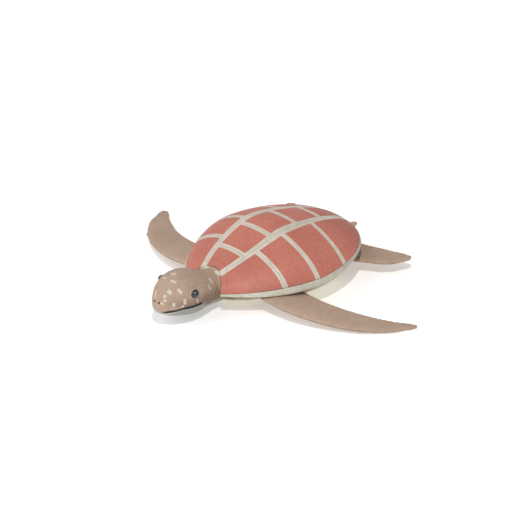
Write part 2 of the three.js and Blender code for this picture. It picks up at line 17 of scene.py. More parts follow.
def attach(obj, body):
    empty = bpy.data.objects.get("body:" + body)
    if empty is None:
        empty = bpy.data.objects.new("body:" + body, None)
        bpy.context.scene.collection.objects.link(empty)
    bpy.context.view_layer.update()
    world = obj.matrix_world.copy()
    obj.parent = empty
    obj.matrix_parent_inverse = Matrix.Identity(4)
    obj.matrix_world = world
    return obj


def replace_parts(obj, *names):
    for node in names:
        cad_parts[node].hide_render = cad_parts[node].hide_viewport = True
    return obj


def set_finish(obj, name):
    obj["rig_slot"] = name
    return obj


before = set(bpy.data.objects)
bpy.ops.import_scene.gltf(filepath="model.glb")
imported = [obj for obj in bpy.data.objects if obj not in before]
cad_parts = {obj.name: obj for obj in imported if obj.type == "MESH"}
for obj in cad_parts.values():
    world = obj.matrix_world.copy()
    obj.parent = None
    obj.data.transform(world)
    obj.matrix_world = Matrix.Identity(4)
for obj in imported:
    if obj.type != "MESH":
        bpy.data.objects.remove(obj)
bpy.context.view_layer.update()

MM = 0.001
SIDES = {"left": 1, "right": -1}

# ---- Dimensions, in millimetres

SHELL_Y, SHELL_HALF = -18, 314
FRONT_HALF, REAR_HALF = (418, 1.56), (380, 2.17)  # length and power of each half in plan
EDGE_Z, EDGE_CLIMB = 124, 0.069  # the edge line's height, and how it climbs towards the tail
APEX_Y, DOME_HEIGHT, DOME_POWERS = -50, 145.3, (1.296, 1.346)
TOP_EASE = 0.08  # rounds the top over this share of each half's length
CROSS_POWERS = ((-290, 0.647), (254, 0.818))  # y, and the power of the dome's section there
NORMAL_INSET = 0.98  # the dome's normal is read a little inside, as its edge is upright
UNDERSIDE = (14, 93, 0.42, 1.5)  # overhang, rise, share that is flat, and power of the rise

VERTEBRAL_HALF, VERTEBRAL_TAPER, VERTEBRAL_LENGTH = 92, (0.196, 0.524, -0.293), 376
# Seams: y at the middle or the inner end, and how many degrees round the edge the outer end is.
CROSS_SEAMS = (-235, -99, 50, 199)
RIB_SEAMS = ((-191, -30), (-58, -8.7), (119, 16.6))
BAY, NUCHAL = (-330, -66.4), (-300, -62.5)
TAIL_END, TAIL_TIP = 89.9, 89.99  # degrees, just short of the edge line's rear end
SEAM_GAP, SCUTE_THICKNESS = 0.25, 8
SCUTE_SPACING, RIM_SPACING = 3.2, 6  # between the lines of their meshes
LONG_BAND, CROSS_BAND, RIB_BAND = 14.0, 11.5, 10.5  # half widths of the pale bands
LONG_SWELL = (6.0, -30, 140)  # how much the long band widens, around which y, over what reach

MARGINALS = 12
RIM_SIZES = (0.3, 0.83, 0.45)  # of the section, at the bay, the sides and the tail
MARGINAL_SECTION = (  # out from the edge line, and up
    (-0.6, -3), (0.3, 2.2), (3.6, 0.4), (8, -9), (13, -22), (12, -31), (2, -37), (-16, -40),
    (-15, -30), (-6, -12),
)

PLASTRON_Y, PLASTRON_REACH, LOBE_HALF, LOBE_POWER = -8, 322, 121, 5
BRIDGE, BRIDGE_INSET = (-120, -60, 142, 202), 24  # where the plate reaches the rim, and how near
BELLY_SEAMS = ((-262, 22), (-178, -14), (-72, 12), (52, -12), (150, 14), (232, -18))  # y, bend
BRIDGE_X, BRIDGE_SEAMS = 152, (-10, 50, 112)
PLASTRON_THICKNESS = 12

# The head and neck: y, top, bottom and half width
HEAD_KEYS = (
    (-310, 152, 20, 70), (-350, 159, 19, 71), (-390, 168, 21, 71), (-430, 184, 22, 78),
    (-470, 202, 20, 89), (-510, 211, 23, 94), (-550, 207, 33, 93), (-590, 191, 44, 79),
    (-616, 172, 53, 62), (-637, 151, 65, 43), (-650, 133, 75, 28), (-658, 116, 87, 11),
)
SKULL_MIDDLE = 0.47  # share of its height where the head is widest
HEAD_POWERS = (0.96, 0.9, 0.92)  # of a section's top, bottom and width
HEAD_START, NECK_START = -330, -325  # where the head's scales and the markings begin
HEAD_BASE, NECK_ROOT = -430, -300  # y at both ends of the neck
MOUTH_FADE = (634, 650)  # how far ahead the mouth's line fades out at the snout
EYE, EYE_RADIUS = np.array((90.0, -530.0, 146.0)), 20
EYE_OUT = 2.0  # how far the ball is set out of the CAD one, and smaller
EYE_AXIS = np.array((0.95, -0.16, 0.27)) / np.linalg.norm((0.95, -0.16, 0.27))
LID_OPENING, LID_CREST = 17.2, 5.6
MOUTH = ((-688, 70), (-585, 96), (-487, 90))  # y, z from the tip to the corner
BEAK = {
    "upper": ((-690, 124), (-647, 117), (-625, 108), (-595, 105), (-568, 99), (-568, 60), (-690, 50)),
    "lower": ((-690, 99), (-588, 99), (-604, 74), (-624, 56), (-690, 30)),
}
NOSTRIL, NOSTRIL_RADIUS = np.array((14.0, -653.0, 120.5)), 4.6

FRONT_FLIPPER = {
    "leading": ((130, -268, 75), (363, -253, 56), (559, -151, 22.5), (686, -19, 9), (722, 84, 5.5)),
    "trailing": ((150, -78, 64), (360, -92, 60), (484, -53, 43), (593, 14, 22), (709, 98, 5.5)),
    "thickness": ((0, 21), (0.25, 21), (0.5, 18), (0.75, 12), (1, 6.5)),
    "claw": 0.57,
}
HIND_FLIPPER = {
    "leading": ((150, 205, 60), (247, 277, 58), (307, 321, 55.5), (341, 383, 54.5), (347, 420, 54.5)),
    "trailing": ((60, 365, 58), (170, 396, 58), (240, 422, 57.5), (298, 442, 56), (333, 443, 55)),
    "thickness": ((0, 18), (0.25, 15.5), (0.5, 12.5), (0.75, 10), (1, 7)),
    "claw": 0.6,
}
BLUNT_TIP = 0.5  # how much the skin of a flipper's tip is wider than its outline there
TIP_CAP = ((0.94, 2.0), (0.82, 4.0), (0.6, 5.6))  # size and distance of the rings that close it
TAIL_KEYS = (  # y, height and radius
    (300, 72, 30), (360, 75, 25), (416, 77, 19), (456, 78, 12), (470, 78, 5),
)

# Pale flecks of the head and neck: y, degrees round from the crown to the left, length,
# width, and turn from the head's own length. Those low on the side are on both sides.
FLECKS = (
    (-550, -5, 25, 12, 65), (-580, -20, 17, 9, 75), (-580, 15, 27, 10, 80), (-585, 50, 25, 11, 75),
    (-615, 32, 20, 11, 80), (-633, 32, 12, 9, 80), (-638, 50, 11, 8, 60), (-648, 57, 19, 6, 75),
    (-640, -26, 23, 8, 170), (-616, 83, 16, 9, 95), (-577, 83, 23, 11, 90), (-587, 96, 12, 8, -30),
    (-518, 88, 23, 10, 70), (-346, 26, 28, 15, 75), (-403, 44, 24, 11, 80), (-428, 64, 25, 7, 75),
)
ON_BOTH_SIDES, NECK_FLECKS = 60, -450

# The skin and its scales
COAT_DEPTH = 0.7  # how far the skin lies inside the flesh, for its scales
VOXEL, QUICK_VOXEL = 2.8, 4
NO_FLECK = 9.0  # a distance outside every fleck
SCALE_GAP = 0.9
HEAD_SHIELDS = (  # y, degrees from the crown, size
    (-628, 0, 17), (-606, 22, 20), (-583, 0, 24), (-540, 0, 42), (-566, 38, 20), (-534, 36, 24),
    (-498, 16, 30), (-500, 50, 24), (-462, 0, 24), (-466, 34, 22),
)
# A scale's rings: share of its width, and height as a share of its rise. Small ones skip some.
RINGS = ((0.25, 1.0), (0.5, 0.97), (0.72, 0.9), (0.87, 0.72), (0.96, 0.25), (1.0, -0.6))
SMALL_SCALE, SMALL_RINGS = 15, (0.5, 0.87, 0.96, 1.0)

# ---- Numbers and curves


def smooth(value, low, high):
    t = np.clip((np.asarray(value, float) - low) / (high - low), 0, 1)
    return t * t * (3 - 2 * t)


def between(value, start, full, wane, end):
    """1 in the middle of a range, fading out at both ends."""
    return smooth(value, start, full) * (1 - smooth(value, wane, end))


def hill(off, reach):
    return np.exp(-(off / reach) ** 2)


def mix(a, b, t):
    return a + (b - a) * t


def unit(v):
    return v / np.linalg.norm(v, axis=-1, keepdims=True)


def stack(*parts):
    """Points from their coordinates."""
    return np.stack(np.broadcast_arrays(*parts), -1)


def turns(count):
    """Cosines and sines of evenly spaced angles all the way round."""
    angle = np.linspace(0, 2 * math.pi, count, endpoint=False)
    return np.cos(angle), np.sin(angle)


def run_of(line):
    """Distance along a line at each of its points."""
    return np.concatenate([[0], np.cumsum(np.linalg.norm(np.diff(line, axis=0), axis=1))])


def through(keys):
    """A smooth function through rows of position and values, as an array for each value."""
    table = np.array(sorted(keys), float)
    at, values = table[:, 0], table[:, 1:]
    padded = np.vstack([table[:1], table, table[-1:]])
    slopes = (padded[2:, 1:] - padded[:-2, 1:]) / (padded[2:, 0] - padded[:-2, 0])[:, None]

    def function(position):
        position = np.asarray(position, float)
        i = np.clip(np.searchsorted(at, position, side="right") - 1, 0, len(at) - 2)
        span = at[i + 1] - at[i]
        t = (position - at[i]) / span
        rise = t * t * (3 - 2 * t)
        return [
            mix(values[i, c], values[i + 1, c], rise)
            + span * t * (1 - t) * ((1 - t) * slopes[i, c] - t * slopes[i + 1, c])
            for c in range(values.shape[1])
        ]
    return function


def curve_through(points):
    """A centripetal Catmull-Rom curve: a function of 0 to 1, for arrays."""
    p = np.array(points, float)
    p = np.vstack([2 * p[0] - p[1], p, 2 * p[-1] - p[-2]])
    gaps = np.linalg.norm(np.diff(p, axis=0), axis=1) ** 0.5

    def function(t):
        s = np.clip(np.asarray(t, float), 0, 1) * (len(p) - 3)
        i = np.minimum(s.astype(int), len(p) - 4)
        w = (s - i)[..., None]
        a, b, c, d = p[i], p[i + 1], p[i + 2], p[i + 3]
        g0, g1, g2 = (gaps[i + k][..., None] for k in range(3))
        m1 = ((b - a) / g0 - (c - a) / (g0 + g1) + (c - b) / g1) * g1
        m2 = ((c - b) / g1 - (d - b) / (g1 + g2) + (d - c) / g2) * g1
        return b + w * (m1 + w * ((-3 * b + 3 * c - 2 * m1 - m2) + w * (2 * b - 2 * c + m1 + m2)))
    return function


# ---- The shell's surfaces


def shell_half(y):
    front = np.asarray(y) < SHELL_Y
    return [np.where(front, a, b) for a, b in zip(FRONT_HALF, REAR_HALF)]


def half_width(y, inset=0):
    length, power = shell_half(y)
    v = np.minimum(1, np.abs(y - SHELL_Y) / (length - inset))
    return (SHELL_HALF - inset) * (1 - v ** power) ** (1 / power)


def plan_share(x, y):
    """0 under the middle of the shell, 1 under its edge line."""
    length, power = shell_half(y)
    return (np.abs(x) / SHELL_HALF) ** power + np.minimum(1, np.abs(y - SHELL_Y) / length) ** power


def edge_point(degrees):
    """The edge line at degrees round from its widest place, -90 ahead and 90 behind."""
    degrees = np.asarray(degrees, float)
    length, power = (np.where(degrees < 0, a, b) for a, b in zip(FRONT_HALF, REAR_HALF))
    a = np.radians(np.abs(degrees))
    return stack(SHELL_HALF * np.cos(a) ** (2 / power),
                 SHELL_Y + np.sign(degrees) * length * np.sin(a) ** (2 / power))


def edge_z(y):
    return EDGE_Z + EDGE_CLIMB * y


def dome_z(x, y):
    front = y < APEX_Y
    power = np.where(front, *DOME_POWERS)
    end = np.where(front, SHELL_Y - FRONT_HALF[0], SHELL_Y + REAR_HALF[0])
    v = np.clip((y - APEX_Y) / (end - APEX_Y), 0, 1)
    drop = (v ** 2 + TOP_EASE ** 2) ** (power / 2) - TOP_EASE ** power
    drop = drop / ((1 + TOP_EASE ** 2) ** (power / 2) - TOP_EASE ** power)
    ridge = DOME_HEIGHT * np.maximum(0, 1 - drop) ** (1 / power)
    (y0, p0), (y1, p1) = CROSS_POWERS
    cross = mix(p0, p1, smooth(y, y0, y1))
    width = np.maximum(half_width(y), 1)
    return edge_z(y) + ridge * np.maximum(0, 1 - (x / width) ** 2) ** cross


def on_dome(x, y, depth):
    """Points set in from the dome over x, y by a depth along its normal."""
    x, y = np.broadcast_arrays(x, y)
    nx, ny = x * NORMAL_INSET, SHELL_Y + (y - SHELL_Y) * NORMAL_INSET
    normal = stack((dome_z(nx - 1, ny) - dome_z(nx + 1, ny)) / 2,
                   (dome_z(nx, ny - 1) - dome_z(nx, ny + 1)) / 2, 1.0)
    return stack(x, y, dome_z(x, y)) - np.asarray(depth)[..., None] * unit(normal)


def underside_z(x, y):
    overhang, rise, flat, curve = UNDERSIDE
    length, power = shell_half(y)
    across, along = np.abs(x) / (SHELL_HALF + overhang), np.abs(y - SHELL_Y) / (length + overhang)
    share = (across ** power + along ** power) ** (1 / power)
    return (rise + EDGE_CLIMB * y) * np.clip((share - flat) / (1 - flat), 0, 1) ** curve


def vertebral_edge(y):
    s = np.asarray(y, float) / VERTEBRAL_LENGTH
    linear, square, cube = VERTEBRAL_TAPER
    return VERTEBRAL_HALF * (1 - linear * s - square * s ** 2 - cube * s ** 3)


def bow(y, corner):
    """A seam across the body from edge to edge, bowed back to y in the middle."""
    corner_x, corner_y = edge_point(corner)
    return lambda x: stack(x, mix(y, corner_y, (x / corner_x) ** 2))


bay_line, nuchal_line = bow(*BAY), bow(*NUCHAL)
bay_x, nuchal_x = (edge_point(corner)[0] for _, corner in (BAY, NUCHAL))

# Where the vertebral plates' edge meets the nuchal seam ahead, and the edge line behind
seam_end_y = NUCHAL[0]
for _ in range(20):
    seam_end_y = float(nuchal_line(vertebral_edge(seam_end_y))[1])
seam_end_x = float(vertebral_edge(seam_end_y))

low, high = 45, TAIL_END
for _ in range(30):
    middle = (low + high) / 2
    x, y = edge_point(middle)
    low, high = (middle, high) if x > vertebral_edge(y) else (low, middle)
tail_angle = low
tail_seam_y = float(edge_point(tail_angle)[1])


def pale_band(x, y):
    """Distance from the nearest seam, as a share of half the pale band's width there."""
    ax = np.abs(x)
    edge = vertebral_edge(y)
    swell, swell_y, reach = LONG_SWELL
    best = np.abs(ax - edge) / (LONG_BAND + swell * hill(y - swell_y, reach))
    for seam in CROSS_SEAMS:
        best = np.where(ax < edge, np.minimum(best, np.abs(y - seam) / CROSS_BAND), best)
    for inner_y, angle in RIB_SEAMS:
        x0, (x1, y1) = vertebral_edge(inner_y), edge_point(angle)
        slope = (y1 - inner_y) / (x1 - x0)
        off = np.abs(y - inner_y - slope * (ax - x0)) / math.hypot(1, slope)
        best = np.where(ax > edge, np.minimum(best, off / RIB_BAND), best)
    return best


# ---- Mesh tools


def set_values(mesh, values):
    """Values for each point, kept in the mesh for its material to read."""
    for key, row in values.items():
        layer = mesh.attributes.new(key, "FLOAT", "POINT")
        layer.data.foreach_set("value", np.asarray(row, np.float32))


def make(name, points, faces, material, slot, values=None):
    """A piece of the object from points in millimetres."""
    mesh = bpy.data.meshes.new(name)
    mesh.from_pydata((points.reshape(-1, 3) * MM).tolist(), [], faces)
    set_values(mesh, values or {})
    mesh.materials.append(material)
    mesh.shade_smooth()
    piece = bpy.data.objects.new(name, mesh)
    bpy.context.scene.collection.objects.link(piece)
    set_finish(piece, slot)
    return piece


def turn_out(mesh):
    """Turns a closed mesh's faces outwards."""
    bm = bmesh.new()
    bm.from_mesh(mesh)
    bmesh.ops.recalc_face_normals(bm, faces=bm.faces)
    bm.to_mesh(mesh)
    bm.free()


def face_out(piece):
    turn_out(piece.data)
    return piece


def apply_modifiers(piece):
    graph = bpy.context.evaluated_depsgraph_get()
    mesh = bpy.data.meshes.new_from_object(piece.evaluated_get(graph))
    piece.modifiers.clear()
    piece.data = mesh
    return mesh


def kd_tree(places):
    tree = kdtree.KDTree(len(places))
    for i, place in enumerate(places):
        tree.insert(place, i)
    tree.balance()
    return tree


def plate_faces(rows, columns):
    """Faces of a closed plate between two grids of points, one after the other."""
    r, c = np.meshgrid(np.arange(rows - 1), np.arange(columns - 1), indexing="ij")
    a = (r * columns + c).ravel()
    top = np.stack([a, a + 1, a + columns + 1, a + columns], 1)
    count = rows * columns
    border = [*range(columns - 1), *((i + 1) * columns - 1 for i in range(rows - 1)),
              *range(count - 1, count - columns, -1), *range(count - columns, 0, -columns)]
    side = [(b, a, a + count, b + count) for a, b in zip(border, border[1:] + border[:1])]
    return top.tolist() + (top[:, ::-1] + count).tolist() + side


def tube_faces(rings, size):
    """Faces of a closed tube of rings of points, with both ends capped."""
    r, i = np.meshgrid(np.arange(rings - 1), np.arange(size), indexing="ij")
    a, b = (r * size + i).ravel(), (r * size + (i + 1) % size).ravel()
    faces = np.stack([a, b, b + size, a + size], 1).tolist()
    return faces + [list(range(size))[::-1], list(range((rings - 1) * size, rings * size))]


def rounded(polygon, times=2):
    """Closed polygons along the last axis but one, with their corners cut."""
    for _ in range(times):
        ahead = np.roll(polygon, -1, axis=-2)
        pair = np.stack([0.75 * polygon + 0.25 * ahead, 0.25 * polygon + 0.75 * ahead], -2)
        polygon = pair.reshape(*polygon.shape[:-2], -1, polygon.shape[-1])
    return polygon


# ---- Materials


def srgb(r, g, b):
    return (*[((v / 255 + 0.055) / 1.055) ** 2.4 for v in (r, g, b)], 1.0)


class Look:
    """A material and short ways to add its nodes."""

    def __init__(self, name, roughness, **settings):
        self.material = bpy.data.materials.new(name)
        self.material.use_nodes = True
        self.tree = self.material.node_tree
        self.shader = self.tree.nodes["Principled BSDF"]
        self.shader.inputs["Roughness"].default_value = roughness
        for key, value in settings.items():
            self.shader.inputs[key.replace("_", " ")].default_value = value
        self.place = self.add("ShaderNodeTexCoord").outputs["Object"]

    def add(self, kind, **inputs):
        node = self.tree.nodes.new(kind)
        for key, value in inputs.items():
            self.link(value, node.inputs[key.replace("_", " ")])
        return node

    def link(self, value, socket):
        if isinstance(value, bpy.types.NodeSocket):
            self.tree.links.new(value, socket)
        else:
            socket.default_value = value

    def noise(self, scale, detail=3.0, vector=None):
        node = self.add("ShaderNodeTexNoise", Vector=vector or self.place, Scale=scale, Detail=detail)
        return node.outputs["Fac"]

    def cells(self, scale):
        """Distance from the borders of small cells."""
        node = self.add("ShaderNodeTexVoronoi", Vector=self.place, Scale=scale)
        node.feature = "DISTANCE_TO_EDGE"
        return node.outputs["Distance"]

    def towards_tail(self, start, end):
        """0 ahead of one distance along the body and 1 behind another, in metres."""
        parts = self.add("ShaderNodeSeparateXYZ", Vector=self.place)
        return self.between(parts.outputs["Y"], start, end)

    def attribute(self, name):
        node = self.add("ShaderNodeAttribute")
        node.attribute_name = name
        return node.outputs["Fac"]

    def maths(self, operation, a, b=0.0):
        node = self.add("ShaderNodeMath")
        node.operation = operation
        for value, socket in zip((a, b), node.inputs):
            self.link(value, socket)
        return node.outputs[0]

    def between(self, value, low, high, to_low=0.0, to_high=1.0):
        node = self.add("ShaderNodeMapRange")
        node.interpolation_type = "SMOOTHSTEP"
        for key, entry in (("Value", value), ("From Min", low), ("From Max", high),
                           ("To Min", to_low), ("To Max", to_high)):
            self.link(entry, node.inputs[key])
        return node.outputs[0]

    def patches(self, scale, low, high, to_low=0.0, to_high=1.0, detail=3.0):
        """Noise turned into soft patches."""
        return self.between(self.noise(scale, detail), low, high, to_low, to_high)

    def blend(self, amount, a, b):
        """Colour a, and b by an amount from 0 to 1."""
        node = self.add("ShaderNodeMix")
        node.data_type = "RGBA"
        for key, value in ((0, amount), (6, a), (7, b)):
            self.link(value, node.inputs[key])
        return node.outputs[2]

    def tint(self, amount, colour, rgb):
        return self.blend(amount, colour, srgb(*rgb))

    def times(self, value, factor):
        return self.maths("MULTIPLY", value, factor)

    def finish(self, colour, heights=(), roughness=None):
        """Links the colour, the roughness, and bumps of heights and their depths in millimetres."""
        self.link(colour, self.shader.inputs["Base Color"])
        if roughness is not None:
            self.link(roughness, self.shader.inputs["Roughness"])
        normal = None
        for height, distance in heights:
            node = self.add("ShaderNodeBump", Height=height, Distance=distance * MM)
            if normal is not None:
                self.link(normal, node.inputs["Normal"])
            normal = node.outputs["Normal"]
        if normal is not None:
            self.link(normal, self.shader.inputs["Normal"])
        return self.material


def pale_horn(look, light=(212, 203, 189), dark=(200, 191, 175)):
    return look.blend(look.patches(26, 0.35, 0.7), srgb(*light), srgb(*dark))


def scute_look():
    look = Look("scute_horn", 0.5, Specular_IOR_Level=0.35)
    red = look.blend(look.patches(5, 0.3, 0.75), srgb(201, 124, 107), srgb(189, 113, 97))
    fine = look.patches(70, 0.35, 0.75, detail=5.0)
    red = look.tint(look.times(fine, 0.45), red, (175, 100, 85))
    # Painted shade: the plates darken towards the tail.
    red = look.tint(look.times(look.towards_tail(0.1, 0.42), 0.4), red, (146, 80, 67))
    band = look.maths("ADD", look.attribute("band"), look.patches(45, 0.2, 0.8, -0.04, 0.04))
    colour = look.blend(look.between(band, 0.93, 1.06), pale_horn(look), red)
    rim = look.attribute("rim")
    rings = look.maths("SINE", look.times(rim, 1.1))
    rings = look.times(rings, look.between(rim, 6.0, 70.0, 1.0, 0.2))
    colour = look.tint(look.between(rim, 0.0, 1.2, 0.2, 0.0), colour, (176, 155, 133))
    heights = [(rings, 0.12), (look.noise(240, 4.0), 0.25), (look.noise(28), 0.8)]
    return look.finish(colour, heights, look.patches(40, 0.2, 0.8, 0.42, 0.58))


def rim_look(name, light, dark, seam, tail):
    look = Look(name, 0.55, Specular_IOR_Level=0.35)
    colour = pale_horn(look, light, dark)
    # Painted shade: darker and greyer towards the tail, by the share given as tail.
    colour = look.tint(look.times(look.towards_tail(-0.15, 0.3), tail), colour, (160, 161, 143))
    colour = look.tint(look.between(look.attribute("rim"), 0.2, 2.2, 0.4, 0.0), colour, seam)
    heights = [(look.noise(200, 4.0), 0.25), (look.noise(30), 0.9)]
    return look.finish(colour, heights, look.patches(35, 0.2, 0.8, 0.48, 0.64))


def skin_look(name, tan, pale, scaly):
    """Skin, or the scales over it. Both read the same marks and painted shade from their points."""
    look = Look(name, 0.62, Specular_IOR_Level=0.3)
    colour = look.blend(look.patches(9, 0.3, 0.7), srgb(*tan), srgb(*[v - 9 for v in tan]))
    colour = look.tint(look.patches(120, 0.45, 0.8, 0.0, 0.3, detail=4.0), colour, pale)
    if scaly:
        tone = look.between(look.attribute("tone"), 0.0, 1.0, 0.0, 0.25)
        colour = look.tint(tone, colour, [v - 20 for v in tan])
        border = look.between(look.attribute("border"), 0.6, 1.0, 0.0, 0.2)
        colour = look.tint(border, colour, pale)
    colour = look.tint(look.attribute("throat"), colour, THROAT)
    fleck = look.between(look.attribute("fleck"), -1.1, 0.9, 1.0, 0.0)
    spot = look.blend(look.patches(19, 0.42, 0.58), srgb(213, 195, 176), srgb(207, 202, 182))
    # Painted shade: darker on the lower sides of the neck and head and on the flippers' undersides at
    # their edges.
    colour = look.tint(look.attribute("painted_shade"), colour, (128, 106, 90))
    colour = look.blend(fleck, colour, spot)
    # Painted shade: near-black in the mouth's slit and the nostril pits.
    colour = look.tint(look.attribute("dark"), colour, (36, 47, 54))
    heights = [(look.noise(330, 3.0), 0.15)]
    if not scaly:
        heights.append((look.cells(420), 0.35))
    return look.finish(colour, heights, look.patches(60, 0.2, 0.8, 0.55, 0.7))


def horn_look(name, light, dark, streaks):
    """Horn with its grain drawn out along the axes whose scale is small."""
    look = Look(name, 0.38, Specular_IOR_Level=0.45)
    stretched = look.add("ShaderNodeMapping", Vector=look.place)
    stretched.inputs["Scale"].default_value = streaks
    grain = look.noise(50, 4.0, stretched.outputs["Vector"])
    colour = look.blend(look.between(grain, 0.3, 0.75), srgb(*light), srgb(*dark))
    # Painted shade: near-black along the mouth's slit on the beaks; claws have none.
    colour = look.tint(look.attribute("dark"), colour, (38, 42, 44))
    return look.finish(colour, [(grain, 0.2), (look.noise(300), 0.1)],
                       look.between(grain, 0.2, 0.8, 0.32, 0.46))


def eye_look():
    look = Look("eyeball", 0.3, Coat_Weight=0.5, Coat_Roughness=0.2)
    out = look.attribute("iris")
    iris = look.blend(look.patches(160, 0.3, 0.7, detail=4.0), srgb(46, 58, 66), srgb(35, 45, 52))
    colour = look.blend(look.between(out, 4.6, 5.8), srgb(17, 21, 25), iris)
    colour = look.tint(look.between(out, 10.5, 14.0), colour, (27, 34, 40))
    return look.finish(colour, [(look.noise(90), 0.02)])


SCUTE = scute_look()
RIM = rim_look("rim_horn", (206, 202, 187), (194, 189, 172), (172, 163, 143), 0.6)
PLASTRON = rim_look("plastron_horn", (220, 209, 179), (204, 190, 158), (154, 134, 106), 0)
THROAT = (154, 153, 146)
SKIN = skin_look("skin", (186, 161, 142), (197, 175, 155), False)
SCALE = skin_look("scales", (183, 157, 138), (195, 172, 152), True)
BEAK_UPPER = horn_look("beak_horn", (184, 158, 139), (168, 142, 123), (1, 0.25, 1))
BEAK_LOWER = horn_look("jaw_horn", (184, 178, 168), (168, 160, 148), (1, 0.25, 1))
CLAW = horn_look("claw_horn", (166, 142, 122), (136, 113, 95), (1, 1, 1))
EYEBALL = eye_look()

# ---- Scutes of the dome


def lines(length, spacing):
    """Shares of a length, evenly spaced, with closer ones by both ends."""
    near = np.array([0, 0.5, 1.1, 2.0, 3.4])
    count = max(2, int(round((length - 7) / spacing)))
    middle = np.linspace(near[-1], length - near[-1], count + 1)[1:-1]
    return np.concatenate([near, middle, length - near[::-1]]) / length


def add_scute(name, front, rear, inner, outer):
    """A plate of the dome between four seams, each a function of 0 to 1."""
    def coons(u, v):
        f, r, i, o = front(u), rear(u), inner(v)[:, None], outer(v)[:, None]
        u, v = u[:, None], v[:, None, None]
        return ((1 - v) * f + v * r + (1 - u) * i + u * o
                - (1 - u) * ((1 - v) * f[0] + v * r[0]) - u * ((1 - v) * f[-1] + v * r[-1]))

    def shares(length):
        """Shares of the plate inside its seams, and of the whole with both its ends."""
        inside, gap = lines(length - 2 * SEAM_GAP, SCUTE_SPACING), SEAM_GAP / length
        return inside, np.concatenate([[0], mix(gap, 1 - gap, inside), [1]])

    ends = np.array([0.0, 0.5, 1.0])
    rough = coons(ends, ends)
    across = np.linalg.norm(rough[1, 2] - rough[1, 0])
    along = np.linalg.norm(rough[2, 1] - rough[0, 1])
    (du, u), (dv, v) = shares(across), shares(along)
    x, y = np.moveaxis(coons(u, v)[1:-1, 1:-1], -1, 0)
    rim = np.minimum(np.minimum(du, 1 - du) * across, (np.minimum(dv, 1 - dv) * along)[:, None])
    band = pale_band(x, y)
    worn_edge = 0.6 * np.clip(1 - rim / 1.4, 0, 1) ** 2
    band_step = 0.5 * (1 - smooth(band, 0.85, 1.25))
    points = np.concatenate([on_dome(x, y, worn_edge + band_step), on_dome(x, y, SCUTE_THICKNESS)])
    values = {"band": np.tile(band.ravel(), 2), "rim": np.tile(rim.ravel(), 2)}
    piece = make("scute_" + name, points, plate_faces(*x.shape), SCUTE, "scute", values)
    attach(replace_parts(face_out(piece), name), "root")


def mirrored(curve, side):
    return lambda t: curve(t) * np.array([side, 1])


def across_nuchal(x0, x1):
    return lambda t: nuchal_line(mix(x0, x1, t))


def straight(y):
    return lambda t: stack(mix(-1, 1, t) * vertebral_edge(y), y)


def on_edge(start, end):
    return lambda t: edge_point(mix(start, end, t))


def along_vertebral(y0, y1, side=1):
    def curve(t):
        y = mix(y0, y1, t)
        return stack(side * vertebral_edge(y), y)
    return curve


def rib(inner_y, angle):
    start = np.array([vertebral_edge(inner_y), inner_y])
    return lambda t: mix(start, edge_point(angle), t[:, None])


def tail_seam(t):
    """The edge line round the tail, from right to left."""
    point = edge_point(mix(TAIL_TIP, tail_angle, np.abs(2 * t - 1)))
    return point * stack(np.sign(t - 0.5), 1)


bay_side = on_edge(BAY[1], NUCHAL[1])
add_scute("nuchal", lambda t: bay_line(mix(-bay_x, bay_x, t)), across_nuchal(-nuchal_x, nuchal_x),
          mirrored(bay_side, -1), bay_side)
cross = (across_nuchal(-seam_end_x, seam_end_x), *map(straight, CROSS_SEAMS), tail_seam)
ends = (seam_end_y, *CROSS_SEAMS, tail_seam_y)
for i in range(5):
    add_scute(f"vertebral_{i + 1}", cross[i], cross[i + 1],
              along_vertebral(ends[i], ends[i + 1], -1), along_vertebral(ends[i], ends[i + 1]))
rib_ys, rib_angles = zip(*RIB_SEAMS)
last_corner = (rib_angles[-1] + tail_angle) / 2
ribs = (across_nuchal(seam_end_x, nuchal_x), *(rib(*seam) for seam in RIB_SEAMS),
        on_edge(tail_angle, last_corner))
ends = (seam_end_y, *rib_ys, tail_seam_y)
corners = (NUCHAL[1], *rib_angles, last_corner)
for side, sign in SIDES.items():
    for i in range(4):
        seams = (ribs[i], ribs[i + 1], along_vertebral(ends[i], ends[i + 1]),
                 on_edge(corners[i], corners[i + 1]))
        add_scute(f"costal_{i + 1}_{side}", *(mirrored(seam, sign) for seam in seams))

# ---- Marginal scutes

rim_line = edge_point(np.linspace(BAY[1], TAIL_END, 800))
rim_run = run_of(rim_line)


def rim_sections(run):
    """Sections of the rim at distances along the edge line from the bay."""
    def place(run):
        run = np.clip(run, 0, rim_run[-1])
        return stack(*(np.interp(run, rim_run, rim_line[:, k]) for k in (0, 1)))

    x, y = place(run).T[..., None]
    ahead = unit(place(run + 1) - place(run - 1))
    at_bay, at_side, at_tail = RIM_SIZES
    share = run / rim_run[-1]
    size = mix(mix(at_bay, at_side, smooth(share, 0, 0.3)), at_tail, smooth(share, 0.4, 0.7))
    out, up = (v * size[:, None] for v in rounded(np.array(MARGINAL_SECTION, float)).T)
    return stack(x + ahead[:, 1:] * out, y - ahead[:, :1] * out, edge_z(y) + up)


length = rim_run[-1] / MARGINALS
run = lines(length - 2 * SEAM_GAP, RIM_SPACING) * (length - 2 * SEAM_GAP)
near_end = np.minimum(run, run[-1] - run)
worn_end = 1 - 0.07 * np.clip(1 - near_end / 2.2, 0, 1) ** 2
for number in range(MARGINALS):
    rings = rim_sections(number * length + SEAM_GAP + run)
    centre = rings.mean(1, keepdims=True)
    rings = centre + (rings - centre) * worn_end[:, None, None]
    values = {"rim": np.repeat(near_end + 0.3, rings.shape[1])}
    for side, sign in SIDES.items():
        name = f"marginal_{number + 1:02d}_{side}"
        piece = make("scute_" + name, rings * (sign, 1, 1), tube_faces(*rings.shape[:2]), RIM, "rim",
                     values)
        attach(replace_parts(face_out(piece), name), "root")

# ---- Belly plate


